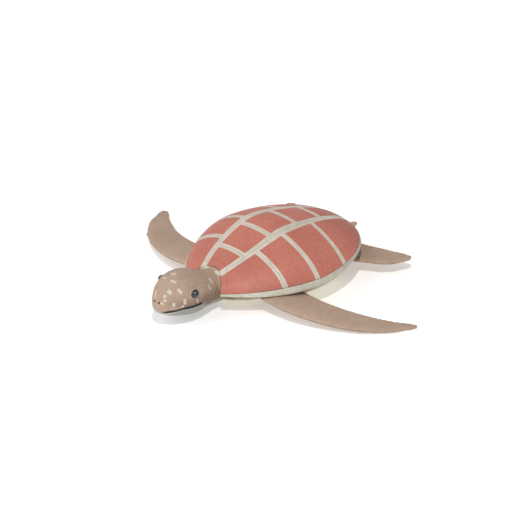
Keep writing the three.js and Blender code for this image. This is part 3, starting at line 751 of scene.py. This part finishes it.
def plastron_half(y):
    v = np.minimum(1, np.abs(y - PLASTRON_Y) / PLASTRON_REACH)
    lobe = LOBE_HALF * np.sqrt(1 - v ** LOBE_POWER)
    return mix(lobe, half_width(y) - BRIDGE_INSET, between(y, *BRIDGE))


def plastron_seams(x, y):
    """Distance from the nearest seam of the belly plate."""
    ax, far = np.abs(x), 99
    seams = [np.where(ax < 150, ax, far), np.where(np.abs(y - 30) < 140, np.abs(ax - BRIDGE_X), far)]
    for seam, bend in BELLY_SEAMS:
        seams.append(np.where(ax < BRIDGE_X, np.abs(y - seam - bend * (ax / 130) ** 2), far))
    for seam in BRIDGE_SEAMS:
        seams.append(np.where(ax > BRIDGE_X, np.abs(y - seam), far))
    return np.min(seams, axis=0)


def add_plastron():
    along = np.sin((np.linspace(0, 1, 230) - 0.5) * math.pi)[:, None]
    across = np.linspace(-1, 1, 181)
    y = PLASTRON_Y + (PLASTRON_REACH - 1.5) * along + 0 * across
    half = plastron_half(y)
    x = across * half
    seam = plastron_seams(x, y)
    border = np.minimum((1 - np.abs(across)) * half, (1 - np.abs(along)) * 320)
    dent = 1.6 * np.clip(1 - seam / 2.6, 0, 1) ** 1.5 + 3 * np.clip(1 - border / 4, 0, 1) ** 2
    floor = underside_z(x, y)
    points = np.concatenate([stack(x, y, floor + dent), stack(x, y, floor + PLASTRON_THICKNESS)])
    piece = make("plastron_plates", points, plate_faces(*x.shape), PLASTRON, "plastron",
                 {"rim": np.tile(seam.ravel(), 2)})
    quarters = [f"plastron_{end}_{side}" for end in ("front", "rear") for side in SIDES]
    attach(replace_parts(face_out(piece), *quarters), "root")


add_plastron()

# ---- Skin: one body from the parts of flesh

head_keys_at = through(HEAD_KEYS)


def head_at(y):
    """Top, bottom, half width and widest height of the head and neck."""
    top, bottom, wide = head_keys_at(y)
    return top, bottom, wide, mix(bottom, top, SKULL_MIDDLE)


def within_head(y):
    return np.clip(y, HEAD_KEYS[-1][0], HEAD_KEYS[0][0])


def head_rings(ys):
    top, bottom, wide, middle = (v[:, None] for v in head_at(ys))
    c, s = turns(72)
    over, under, across = HEAD_POWERS
    z = middle + np.where(s > 0, (top - middle) * np.abs(s) ** over,
                          -(middle - bottom) * np.abs(s) ** under)
    return stack(wide * np.sign(c) * np.abs(c) ** across, ys[:, None], z)


def flipper_frame(shape, t):
    """Middle, half chord, upright and run of a flipper at shares of its length."""
    front, back = curve_through(shape["leading"]), curve_through(shape["trailing"])
    step = 1e-3
    span = unit(sum(c(t + step) - c(t - step) for c in (front, back)))
    a, b = front(t), back(t)
    chord = (a - b) / 2
    up = unit(np.cross(chord, span))
    return (a + b) / 2, chord, up * np.sign(up[..., 2:]), span


def flipper_rings(shape):
    t = np.linspace(0, 1, 70)
    middle, chord, up, span = flipper_frame(shape, t)
    chord = chord * (1 + BLUNT_TIP * smooth(t, 0.86, 1.0))[:, None]
    half, = through(shape["thickness"])(t)
    c, s = turns(44)
    rise = s * half[:, None] * (0.64 + 0.36 * c)
    rings = middle[:, None] + chord[:, None] * c[:, None] + up[:, None] * rise[..., None]
    tips = [middle[-1] + (rings[-1] - middle[-1]) * size + span[-1] * ahead for size, ahead in TIP_CAP]
    rings = np.concatenate([rings, np.stack(tips)])
    rings[..., 2] = np.maximum(rings[..., 2], 0.2)
    return rings


def tail_rings():
    start, end = TAIL_KEYS[0][0], TAIL_KEYS[-1][0]
    y = mix(start, end, np.sin(np.linspace(0, 1, 40) * math.pi / 2))[:, None]
    z, radius = through(TAIL_KEYS)(y)
    c, s = turns(32)
    return stack(radius * c, y, z + 0.85 * radius * s)


def trunk_rings():
    def ring(y):
        x = half_width(y, 16) * -np.cos(np.linspace(0, 1, 37) * math.pi)
        top = on_dome(x, y, 14.0)
        x = half_width(y, 30) * np.cos(np.linspace(0, 1, 33) * math.pi)
        floor = np.minimum(underside_z(x, y + 0 * x) + 16.5, edge_z(y) - 40)
        return np.concatenate([top, stack(x, y, floor)])

    def cap(base, middle_z, *rings):
        return [stack(base[:, 0] * size, y, middle_z + (base[:, 2] - middle_z) * size)
                for y, size in rings]

    body = [ring(y) for y in np.linspace(-338, 330, 50)]
    front = cap(body[0], 88, (-380, 0.4), (-374, 0.6), (-362, 0.8), (-350, 0.93))
    return np.stack([*front, *body, *cap(body[-1], 100, (338, 0.9), (342, 0.7))])


def body_of_flesh():
    along_head = np.concatenate([np.linspace(-300, -634, 90), np.linspace(-637, -658, 16)])
    parts = [trunk_rings(), head_rings(along_head), tail_rings()]
    for shape in (FRONT_FLIPPER, HIND_FLIPPER):
        rings = flipper_rings(shape)
        parts += [rings, (rings * (-1, 1, 1))[:, ::-1]]
    points, faces = [], []
    for rings in parts:
        start = sum(len(p) for p in points)
        points.append(rings.reshape(-1, 3))
        # Each part's faces are turned out before they are joined.
        mesh = bpy.data.meshes.new("part")
        mesh.from_pydata(points[-1].tolist(), [], tube_faces(*rings.shape[:2]))
        turn_out(mesh)
        faces += [[start + v for v in f.vertices] for f in mesh.polygons]
        bpy.data.meshes.remove(mesh)
    return make("skin", np.concatenate(points), faces, SKIN, "skin")


def arrays(mesh):
    """A mesh's points in millimetres, the normals there, and its edges."""
    def read(rows, key, width, kind=float):
        values = np.empty(len(rows) * width, kind)
        rows.foreach_get(key, values)
        return values.reshape(-1, width)
    return (read(mesh.vertices, "co", 3) / MM, read(mesh.vertices, "normal", 3),
            read(mesh.edges, "vertices", 2, int))


def store(mesh, points):
    mesh.vertices.foreach_set("co", (points * MM).ravel())
    mesh.update()


def relax(points, edges, times):
    """Smooths a mesh's points and swells it back each time, so that it keeps its size."""
    start, end = np.concatenate([edges, edges[:, ::-1]]).T
    count = np.bincount(start, minlength=len(points))[:, None]
    for weight in (0.5, -0.52) * times:
        total = stack(*(np.bincount(start, points[end, k], len(points)) for k in range(3)))
        points = mix(points, total / count, weight)
    return points


def mouth_z(y):
    ys, zs = zip(*MOUTH)
    return np.interp(y, ys, zs) - 1.5 * hill(y - ys[1], 14)


def from_nostril(points, sign):
    return np.linalg.norm(points - NOSTRIL * (sign, 1, 1), axis=1)


def eye_place(points, sign):
    """Height along the eye's axis and distance from it, with the direction round it."""
    axis = EYE_AXIS * (sign, 1, 1)
    offset = points - EYE * (sign, 1, 1)
    height = offset @ axis
    flat = offset - height[:, None] * axis
    return height, np.linalg.norm(flat, axis=1), flat


def shape_face(points, normals):
    """Lids, mouth, nostrils, and the folds of the neck."""
    points = points.copy()
    x, y, z = points.T  # views, so that they follow the points
    for sign in SIDES.values():
        height, off, flat = eye_place(points, sign)
        near = (off < 46) & (np.abs(height) < 60) & (x * sign > 20)
        upward = flat[:, 2] / np.maximum(off, 1e-6)
        opening = LID_OPENING - 0.3 * np.maximum(upward, 0) ** 2
        crest = np.maximum(height, LID_CREST + 0.6 * upward)
        ridge = mix(height, crest, hill(np.maximum(off - opening - 1.4, 0), 3.6))
        wanted = mix(-6.0, ridge, smooth(off, opening - 0.9, opening + 0.9))
        fold = 0.8 * hill(off - opening - 7.0, 1.4)
        points += np.where(near, wanted - height - fold, 0)[:, None] * (EYE_AXIS * (sign, 1, 1))
    slit = 6.0 * hill(z - mouth_z(y), 3.0) * smooth(-y, 480, 492) * mix(1, 0.35, smooth(-y, *MOUTH_FADE))
    points -= slit[:, None] * (normals * (1, 1, 0))
    for sign in SIDES.values():
        off = from_nostril(points, sign)
        points -= normals * (4.0 * hill(off, NOSTRIL_RADIUS))[:, None]
        points += normals * (0.7 * hill(off - 6.5, 2.0))[:, None]
    before = bay_line(np.abs(x))[:, 1] - y
    fold = 8.5 * hill(before - 4.0, 6.5) * smooth(before, -2.5, 0.5) * (z > 95)
    points += normals * (fold * (np.abs(x) < bay_x))[:, None]
    angle = np.arctan2(x, z - 95)
    phase = (y + 7 * np.sin(2 * angle) + 3 * np.sin(5 * angle + 1)) / 17
    crease = np.maximum(0, np.abs(np.cos(math.pi * phase)) - 0.72) / 0.28
    folds = between(-y, 330, 350, 418, 440) * smooth(np.abs(angle), 0.5, 1.3)
    points -= normals * (1.8 * crease * folds)[:, None]
    return points


def markings_and_shade(points, normals):
    """What the skin and its scales are coloured by at each point: their marks, and painted shade."""
    x, y, z = points.T
    on_neck = y < NECK_START
    angle = np.degrees(np.arctan2(x, z - head_at(within_head(y))[3]))
    fleck = np.full(len(points), NO_FLECK)
    for fy, at, length, width, turn in FLECKS:
        top, _, wide, middle = (float(v) for v in head_at(fy))
        side, turn = math.radians(at), math.radians(turn)
        radius = math.hypot(wide * math.sin(side), (top - middle) * math.cos(side))
        paired = at > ON_BOTH_SIDES or fy > NECK_FLECKS
        across = np.radians((np.abs(angle) if paired else angle) - at) * radius
        c, s = math.cos(turn), math.sin(turn)
        along = np.abs((y - fy) * c + across * s) - length / 2
        beside = np.abs(across * c - (y - fy) * s) - width / 2
        fleck = np.minimum(fleck, np.where(on_neck, np.maximum(along, beside), NO_FLECK))
    corner_y, corner_z = MOUTH[2]
    jaw = np.where(y < corner_y, mouth_z(y), mix(corner_z, 63, smooth(y, corner_y, HEAD_BASE)))
    throat = smooth(jaw - z, 0, 9) * on_neck
    # Painted shade: the mouth's slit and the nostril pits are coloured near-black.
    slit = (1 - smooth(np.abs(z - mouth_z(y) + 0.8), 4.4, 5.8)) * between(-y, 482, 488, *MOUTH_FADE)
    nostril = 1 - smooth(np.minimum(*(from_nostril(points, sign) for sign in SIDES.values())), 4.2, 5.8)
    # Painted shade: the lower sides of the neck and head are darkened, and so are the flippers'
    # downward-facing edges beyond the shell's edge line.
    ahead = smooth(-y, 400, 470)
    under = 1 - smooth(z, mix(78, 96, ahead), mix(135, 150, ahead))
    painted_shade = 0.85 * under * between(-y, 325, 350, 560, 650) * (1 - throat)
    edge = 0.95 * between(-normals[:, 2], 0.0, 0.35, 0.8, 0.95) * smooth(plan_share(x, y), 1.0, 1.25)
    painted_shade = np.maximum(painted_shade, edge * (y > NECK_ROOT))
    return {"fleck": fleck, "throat": throat, "dark": np.maximum(slit, nostril), "painted_shade": painted_shade}


def in_detail(points):
    """Where the head's mesh is made finer: the snout, the mouth and round the eyes."""
    x, y, z = points.T
    detail = (y < -560) | ((y < -470) & (np.abs(z - mouth_z(y)) < 13))
    for sign in SIDES.values():
        _, off, _ = eye_place(points, sign)
        detail |= (off < 34) & (x * sign > 20) & (y < -480)
    return detail


def add_skin():
    piece = body_of_flesh()
    remesh = piece.modifiers.new("union", "REMESH")
    remesh.mode = "VOXEL"
    remesh.voxel_size = VOXEL * MM
    whole = apply_modifiers(piece)
    points, _, edges = arrays(whole)
    store(whole, relax(points, edges, 8))

    bm = bmesh.new()
    bm.from_mesh(whole)
    chosen = in_detail(np.array([f.calc_center_median() for f in bm.faces]) / MM)
    bm.faces.ensure_lookup_table()
    split = {e for i in np.flatnonzero(chosen) for e in bm.faces[int(i)].edges}
    bmesh.ops.subdivide_edges(bm, edges=list(split), cuts=1, use_grid_fill=True, smooth=0.6)
    bmesh.ops.triangulate(bm, faces=[f for f in bm.faces if len(f.verts) > 4])
    bm.to_mesh(whole)
    bm.free()
    whole.update()

    points, _, edges = arrays(whole)
    store(whole, np.where(in_detail(points)[:, None], relax(points, edges, 3), points))
    points, normals, _ = arrays(whole)
    points = shape_face(points - COAT_DEPTH * normals, normals)
    points[:, 2] = np.maximum(points[:, 2], 0.1)
    store(whole, points)
    set_values(whole, markings_and_shade(points, normals))
    whole.materials.clear()
    whole.materials.append(SKIN)
    whole.shade_smooth()
    flesh = ["trunk", "neck", "head", "lower_jaw", "tail"]
    flesh += [f"{limb}_flipper_{side}" for limb in ("front", "hind") for side in SIDES]
    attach(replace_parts(piece, *flesh), "root")
    return piece.data


skin = add_skin()
skin_points, skin_normals, _ = arrays(skin)
skin_polygons = [list(f.vertices) for f in skin.polygons]

# ---- Beak


def inside_outline(y, z, outline):
    """Distance into a side-view outline that runs clockwise, positive inside."""
    corners = np.array(outline, float)
    best, crossings = np.full(np.shape(y), 1e9), np.zeros(np.shape(y), int)
    for a, b in zip(corners, np.roll(corners, -1, axis=0)):
        run = b - a
        t = np.clip(((y - a[0]) * run[0] + (z - a[1]) * run[1]) / (run @ run), 0, 1)
        best = np.minimum(best, np.hypot(y - a[0] - t * run[0], z - a[1] - t * run[1]))
        spans = (a[1] > z) != (b[1] > z)
        crossings += spans & (y < a[0] + (z - a[1]) * run[0] / (run[1] if run[1] else 1e-9))
    return np.where(crossings % 2 == 1, best, -best)


def add_beak(which, material):
    """A plate of horn over the skin within an outline, to one side of the mouth."""
    _, y, z = skin_points.T
    above = z - mouth_z(y)
    deep = inside_outline(y, z, BEAK[which])
    use = (deep > -1.2) & (above > -0.6 if which == "upper" else above < 0.6)
    faces = [f for f in skin_polygons if all(use[v] for v in f)]
    used = sorted({v for f in faces for v in f})
    place = {v: i for i, v in enumerate(used)}
    lift = COAT_DEPTH * 0.4 + mix(-1.2, 0.9, smooth(deep, -1.0, 3.5))
    points = skin_points + skin_normals * lift[:, None]
    # Painted shade: the mouth's slit, coloured near-black on the beaks.
    slit = (1 - smooth(np.abs(above + 1.5), 5.0, 6.5)) * (1 - smooth(-y, *MOUTH_FADE))
    piece = make(f"beak_{which}_horn", points[used], [[place[v] for v in f] for f in faces], material,
                 "beak", {"dark": slit[used]})
    solid = piece.modifiers.new("thickness", "SOLIDIFY")
    solid.thickness = 2.2 * MM
    solid.offset = -1
    apply_modifiers(piece)
    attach(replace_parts(piece, f"beak_{which}"), "root")


add_beak("upper", BEAK_UPPER)
add_beak("lower", BEAK_LOWER)

# ---- Eyes


def add_eye(side, sign):
    polar = np.linspace(0, math.pi, 40)[1:-1]
    c, s = turns(56)
    axis = EYE_AXIS * (sign, 1, 1)
    across = unit(np.cross(axis, (0, 0, 1)))
    upright = np.cross(across, axis)
    radius = EYE_RADIUS - EYE_OUT - 0.2 + 0.9 * np.exp(-(polar / 0.5) ** 4)
    off = (radius * np.sin(polar))[:, None]
    points = (EYE * (sign, 1, 1) + axis * EYE_OUT + axis * (radius * np.cos(polar))[:, None, None]
              + across * (off * c)[..., None] + upright * (off * s)[..., None])
    iris = np.repeat(np.where(polar < math.pi / 2, off[:, 0], EYE_RADIUS), len(c))
    piece = make(f"eyeball_{side}", points, tube_faces(*points.shape[:2]), EYEBALL, "eye", {"iris": iris})
    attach(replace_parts(face_out(piece), f"eye_{side}"), "root")


for side, sign in SIDES.items():
    add_eye(side, sign)

# ---- Claws


def claw_rings(shape, at, length, radius):
    edge, step = curve_through(shape["leading"]), 0.001
    root = edge(at)
    out = unit(root - curve_through(shape["trailing"])(at))
    axis = unit(unit(edge(at + step) - edge(at - step)) + 0.2 * out)
    across = unit(np.cross(axis, out))
    side = np.cross(across, axis)
    t = np.linspace(0, 1, 26)[:, None]
    taper = radius * (1 - smooth(t, 0.25, 1.25) * 0.98) * np.sqrt(np.clip(1 - t ** 6, 0.02, 1))
    run = root + axis * mix(-9, length, t) - side * (3.2 * np.clip(t - 0.3, 0, 1) ** 2) * 2
    c, s = turns(20)
    return run[:, None] + across * (c * taper * 0.8)[..., None] + side * (s * taper)[..., None]


for limb, shape in (("front", FRONT_FLIPPER), ("hind", HIND_FLIPPER)):
    at = shape["claw"]
    rings = np.stack([claw_rings(shape, at, 17, 4.5), claw_rings(shape, at - 0.13, 9, 3)])
    count = rings[0].size // 3
    faces = tube_faces(*rings.shape[1:3])
    faces += [[v + count for v in f] for f in faces]
    for side, sign in SIDES.items():
        piece = make(f"{limb}_claws_{side}", rings * (sign, 1, 1), faces, CLAW, "claw",
                     {"dark": np.zeros(2 * count)})
        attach(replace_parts(face_out(piece), f"{limb}_claw_{side}"), "root")

# ---- Scales over the skin


def chart(points, normals):
    """Places on an unwrap: the head and neck rolled out, the rest as top and underside."""
    x, y, z = points.T
    rolled = stack(0.03 + np.arctan2(x, z - 100) / (2 * math.pi) * 0.4 + 0.2,
                   0.62 + (NECK_ROOT - y) * 0.001)
    flat = stack(0.02 + (x + 730) * 0.00032 + np.where(normals[:, 2] < 0, 0.5, 0.0),
                 0.02 + (y + 300) * 0.0007)
    return np.where((y < HEAD_START)[:, None], rolled, flat)


flipper_places = []
for shape, start in ((FRONT_FLIPPER, 0.18), (HIND_FLIPPER, 0.1)):
    grid = np.meshgrid(np.linspace(0, 1, 90), np.linspace(-1, 1, 21), indexing="ij")
    share, across = (v.ravel() for v in grid)
    middle, chord, _, _ = flipper_frame(shape, share)
    tree = kd_tree((middle + chord * across[:, None]) * (1, 1, 0))
    flipper_places.append((tree, share, across, start))


def scale_sizes(points):
    """How wide the scales are at each point, or 0 where there are none."""
    x, y, z = points.T
    ax = np.abs(x)
    top, bottom, _, _ = head_at(within_head(y))
    height = (z - bottom) / (top - bottom)
    head = mix(mix(13.0, 17.0, smooth(height, 0.2, 0.6)), 24.0, smooth(height, 0.72, 0.95))
    head = mix(head, 12, smooth(y, -470, -425))
    head = np.where(y > HEAD_BASE, mix(12, 9.5, smooth(y, HEAD_BASE, -400)), head)
    head = np.where(y < -600, np.minimum(head, 13), head)
    size = np.where(y < HEAD_START, head, 11.0)
    for tree, share, across, start in flipper_places:
        near = [tree.find((a, b, 0)) for a, b in zip(ax, y)]
        index = [n[1] for n in near]
        off, u, v = np.array([n[2] for n in near]), share[index], across[index]
        edge = np.abs(v) ** 3 * (0.75 + 0.25 * np.sign(v))
        wide = mix(12.5, 21, edge) * mix(1, 0.62, smooth(u, 0.7, 1))
        size = np.where((off < 14) & (u > start) & (y > -320), wide, size)
    for sign in SIDES.values():
        depth, off, _ = eye_place(points, sign)
        ring = (x * sign > 20) & (np.abs(depth) < 40)
        small = np.minimum(size, np.clip(6 + (off - 21) * 0.45, 5.5, 30))
        size = np.where(ring & (off < 40), small, size)
        size = np.where(ring & (off < LID_OPENING + 1.2), 0, size)
        size = np.where(from_nostril(points, sign) < 8, 0, size)
    lips = np.abs(z - mouth_z(y))
    small = np.minimum(size, np.clip(8 + (lips - 6) * 0.5, 8, 30))
    size = np.where((y < -480) & (lips < 22), small, size)
    size = np.where((y < -484) & (lips < 6.5), 0, size)
    for outline in BEAK.values():
        size = np.where(inside_outline(y, z, outline) > -1.5, 0, size)
    size = np.where((plan_share(x, y) < 0.86) & ~((y < NECK_ROOT) & (ax < 75)), 0, size)
    return np.where((z < 1.5) | ((y > NECK_ROOT) & (y < -250) & (ax < 90)), 0, size)


def skin_frames(points):
    """The nearest places on the skin, and its smooth outward direction there."""
    found = [skin_tree.find_nearest(Vector(p)) for p in points]
    out = np.array([skin_normals[skin_polygons[f[2]]].mean(0) for f in found])
    return np.array([f[0] for f in found]), unit(out)


def seeds(random):
    """Roots and sizes of the scales: listed shields on the head, then as many as fit."""
    cell, taken, chosen = 45.0, {}, []
    steps = list(product((-1, 0, 1), repeat=3))

    def add_where_it_fits(place, out, size):
        a, b, c = (int(v // cell) for v in place)
        for i, j, k in steps:
            for other, facing, reach in taken.get((a + i, b + j, c + k), ()):
                if (math.dist(place, other) < 0.47 * (size + reach)
                        and sum(p * q for p, q in zip(facing, out)) > 0.1):
                    return
        taken.setdefault((a, b, c), []).append((place, out, size))
        chosen.append((place, size))

    for y, at, size in HEAD_SHIELDS:
        top, _, wide, middle = (float(v) for v in head_at(y))
        turn = math.radians(at)
        guess = (wide * math.sin(turn), y, middle + (top - middle) * math.cos(turn) * 1.05)
        (place,), (out,) = skin_frames([guess])
        add_where_it_fits(tuple(place), tuple(out), size)
    middles = np.array([skin_points[f].mean(0) for f in skin_polygons])
    usable = random.permutation(np.flatnonzero(middles[:, 0] > -1))
    for i, size in zip(usable, scale_sizes(middles[usable])):
        if size > 0:
            out = skin_normals[skin_polygons[i]].mean(0)
            add_where_it_fits(tuple(middles[i]), tuple(out), float(size * (0.9 + 0.2 * random.random())))
    return chosen


def clipped(polygon, point, towards):
    """The part of a flat polygon on the near side of a line."""
    kept = []
    sides = [(p[0] - point[0]) * towards[0] + (p[1] - point[1]) * towards[1] for p in polygon]
    for a, b, da, db in zip(polygon, polygon[1:] + polygon[:1], sides, sides[1:] + sides[:1]):
        if da <= 0:
            kept.append(a)
        if (da < 0) != (db < 0):
            t = da / (da - db)
            kept.append((a[0] + (b[0] - a[0]) * t, a[1] + (b[1] - a[1]) * t))
    return kept


def frame_of(out):
    """Two directions along the skin, square to its outward one."""
    along = np.cross(out, (1.0, 0.0, 0.0) if abs(out[0]) < 0.8 else (0.0, 1.0, 0.0))
    along /= np.linalg.norm(along)
    return np.cross(along, out), along


def outline_of(root, out, size, near):
    """A scale's outline on its own plane: what is closer to it than to its neighbours."""
    across, along = frame_of(out)
    reach = 0.72 * size
    polygon = [(reach * math.cos(k * math.pi / 5), reach * math.sin(k * math.pi / 5)) for k in range(10)]
    for other, facing, reach in near:
        step = other - root
        flat = np.array((step @ across, step @ along))
        span, far = float(np.linalg.norm(flat)), float(np.linalg.norm(step))
        if facing @ out < 0.1 or span < 1e-6:
            continue
        flat *= far / span
        polygon = clipped(polygon, flat * (size / (size + reach) - 0.5 * SCALE_GAP / far), flat)
        if len(polygon) < 3:
            return None
    shape = rounded(np.array(polygon), 2)
    ring = np.vstack([shape, shape[:1]])
    run = run_of(ring)
    count = int(np.clip(run[-1] / (2.6 if size > 12 and root[1] < HEAD_BASE else 4.2), 8, 44))
    at = np.linspace(0, run[-1], count, endpoint=False)
    return stack(*(np.interp(at, run, ring[:, k]) for k in (0, 1)))


def add_coat(group, name):
    """A closed low plate for each of a group of scales, laid along the skin."""
    points, outs, faces, uvs, tones, borders = [], [], [], [], [], []

    def add(point, out, uv, border):
        points.append(point)
        outs.append(out)
        uvs.append(uv)
        borders.append(border)

    for root, out, outline, size, tone, place in group:
        start, count = len(points), len(outline)
        rise = float(np.clip(0.055 * size, 0.35, 1.3))
        across, along = frame_of(out)
        add(root + out * rise, out, place, 0)
        walk = [(Vector(root), Vector(across) * float(a) + Vector(along) * float(b)) for a, b in outline]
        last = 0.0
        for share, lift in RINGS:
            if size <= SMALL_SCALE and share not in SMALL_RINGS:
                continue
            for k, (at, way) in enumerate(walk):
                hit, _, face, _ = skin_tree.find_nearest(at + way * (share - last))
                normal = smooth_out[face]
                length = way.length
                way = way - normal * way.dot(normal)
                way = way * (length / max(way.length, 1e-6))
                walk[k] = (hit, way)
                uv = place + outline[k] / size * 0.0024 * share
                add(np.array(hit + normal * (lift * rise)), normal, uv, share)
            last = share
        bottom = len(points)
        add(root - out * 0.9, out, place, 1)
        tones += [tone] * (len(points) - start)
        around = [(k, (k + 1) % count) for k in range(count)]
        faces += [(start, start + 1 + a, start + 1 + b) for a, b in around]
        for ring in range(start + 1, bottom - count, count):
            faces += [(ring + a, ring + count + a, ring + count + b, ring + b) for a, b in around]
        faces += [(bottom, bottom - count + b, bottom - count + a) for a, b in around]
    points = np.array(points)
    values = dict(markings_and_shade(points, np.array(outs)), tone=tones, border=borders)
    piece = make(f"scales_{name}", points, faces, SCALE, "skin", values)
    layer = piece.data.uv_layers.new(name="OFBake")
    corners = np.empty(len(piece.data.loops), int)
    piece.data.loops.foreach_get("vertex_index", corners)
    layer.data.foreach_set("uv", np.array(uvs, np.float32)[corners].ravel())
    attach(piece, "root")


def part_of(x, y):
    if y < HEAD_BASE:
        return "head"
    if y < NECK_ROOT and abs(x) < 130:
        return "neck"
    if abs(x) < 45:
        return "tail"
    return ("front_" if y < 130 else "hind_") + ("left" if x > 0 else "right")


random = np.random.default_rng(7)
skin_tree = BVHTree.FromPolygons(skin_points.tolist(), skin_polygons)
smooth_out = [Vector(skin_normals[f].mean(0)).normalized() for f in skin_polygons]
roots = []
for (x, y, z), size in seeds(random):
    # A scale on the middle line is centred on it, and the others are mirrored.
    roots += [((0.0, y, z), size)] if abs(x) < 0.35 * size else [((x, y, z), size), ((-x, y, z), size)]
at, out = skin_frames([place for place, _ in roots])
sizes = np.array([size for _, size in roots])
tree = kd_tree(at)
places, tones = chart(at, out), random.random(len(at))
groups = {}
for i in range(len(at)):
    found = tree.find_range(at[i], 1.5 * sizes[i] + 12)
    near = [(at[j], out[j], sizes[j]) for _, j, _ in found if j != i]
    outline = outline_of(at[i], out[i], sizes[i], near)
    if outline is not None:
        scale = (at[i], out[i], outline, sizes[i], tones[i], places[i])
        groups.setdefault(part_of(*at[i][:2]), []).append(scale)
for part, group in sorted(groups.items()):
    add_coat(group, part)

# ---- Floor, light and camera

AZIMUTH, ELEVATION = 45.43, 26.76  # degrees round from the front, and above the floor
WIDTH = 2.048  # metres across the picture, at the object
FLOOR_RADIUS = 30000


def floor_look():
    look = Look("floor", 0.9, Emission_Color=(1, 1, 1, 1), Emission_Strength=0.31)
    shade = look.patches(0.8, 0.3, 0.7, 0.0, 0.15)
    return look.finish(look.blend(shade, (0.93, 0.93, 0.93, 1), (0.91, 0.91, 0.91, 1)))


c, s = turns(96)
disc = stack(FLOOR_RADIUS * c, FLOOR_RADIUS * s, -0.05)
floor = make("floor", disc, [list(range(len(disc)))], floor_look(), "floor")
del floor["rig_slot"]


def way_to(azimuth, elevation):
    """The direction of something so many degrees round from the front and above the floor."""
    a, e = math.radians(azimuth), math.radians(elevation)
    return Vector((math.cos(e) * math.sin(a), -math.cos(e) * math.cos(a), math.sin(e)))


back = way_to(AZIMUTH, ELEVATION)
right = Vector((math.cos(math.radians(AZIMUTH)), math.sin(math.radians(AZIMUTH)), 0))
up = back.cross(right)
camera = bpy.data.objects.new("camera", bpy.data.cameras.new("camera"))
bpy.context.scene.collection.objects.link(camera)
camera.data.lens, camera.data.sensor_width = 1500, 36
distance = WIDTH * camera.data.lens / camera.data.sensor_width
camera.location = right * -0.0694 + up * 0.0844 + back * distance
camera.rotation_mode = "QUATERNION"
camera.rotation_quaternion = (-back).to_track_quat("-Z", "Y")
camera.data.clip_start, camera.data.clip_end = 1, 300
bpy.context.scene.camera = camera


def add_sun(name, azimuth, elevation, strength, spread):
    lamp = bpy.data.lights.new(name, "SUN")
    lamp.energy, lamp.angle = strength, math.radians(spread)
    sun = bpy.data.objects.new(name, lamp)
    sun.rotation_mode = "QUATERNION"
    sun.rotation_quaternion = way_to(azimuth, elevation).to_track_quat("Z", "Y")
    bpy.context.scene.collection.objects.link(sun)


add_sun("key", 45, 56, 1.35, 0.6)
add_sun("fill", -30, 42, 0.85, 50)
world = bpy.data.worlds.new("studio")
world.use_nodes = True
world.node_tree.nodes["Background"].inputs["Color"].default_value = (1, 1, 1, 1)
world.node_tree.nodes["Background"].inputs["Strength"].default_value = 0.4
bpy.context.scene.world = world
bpy.context.scene.view_settings.view_transform = "Standard"
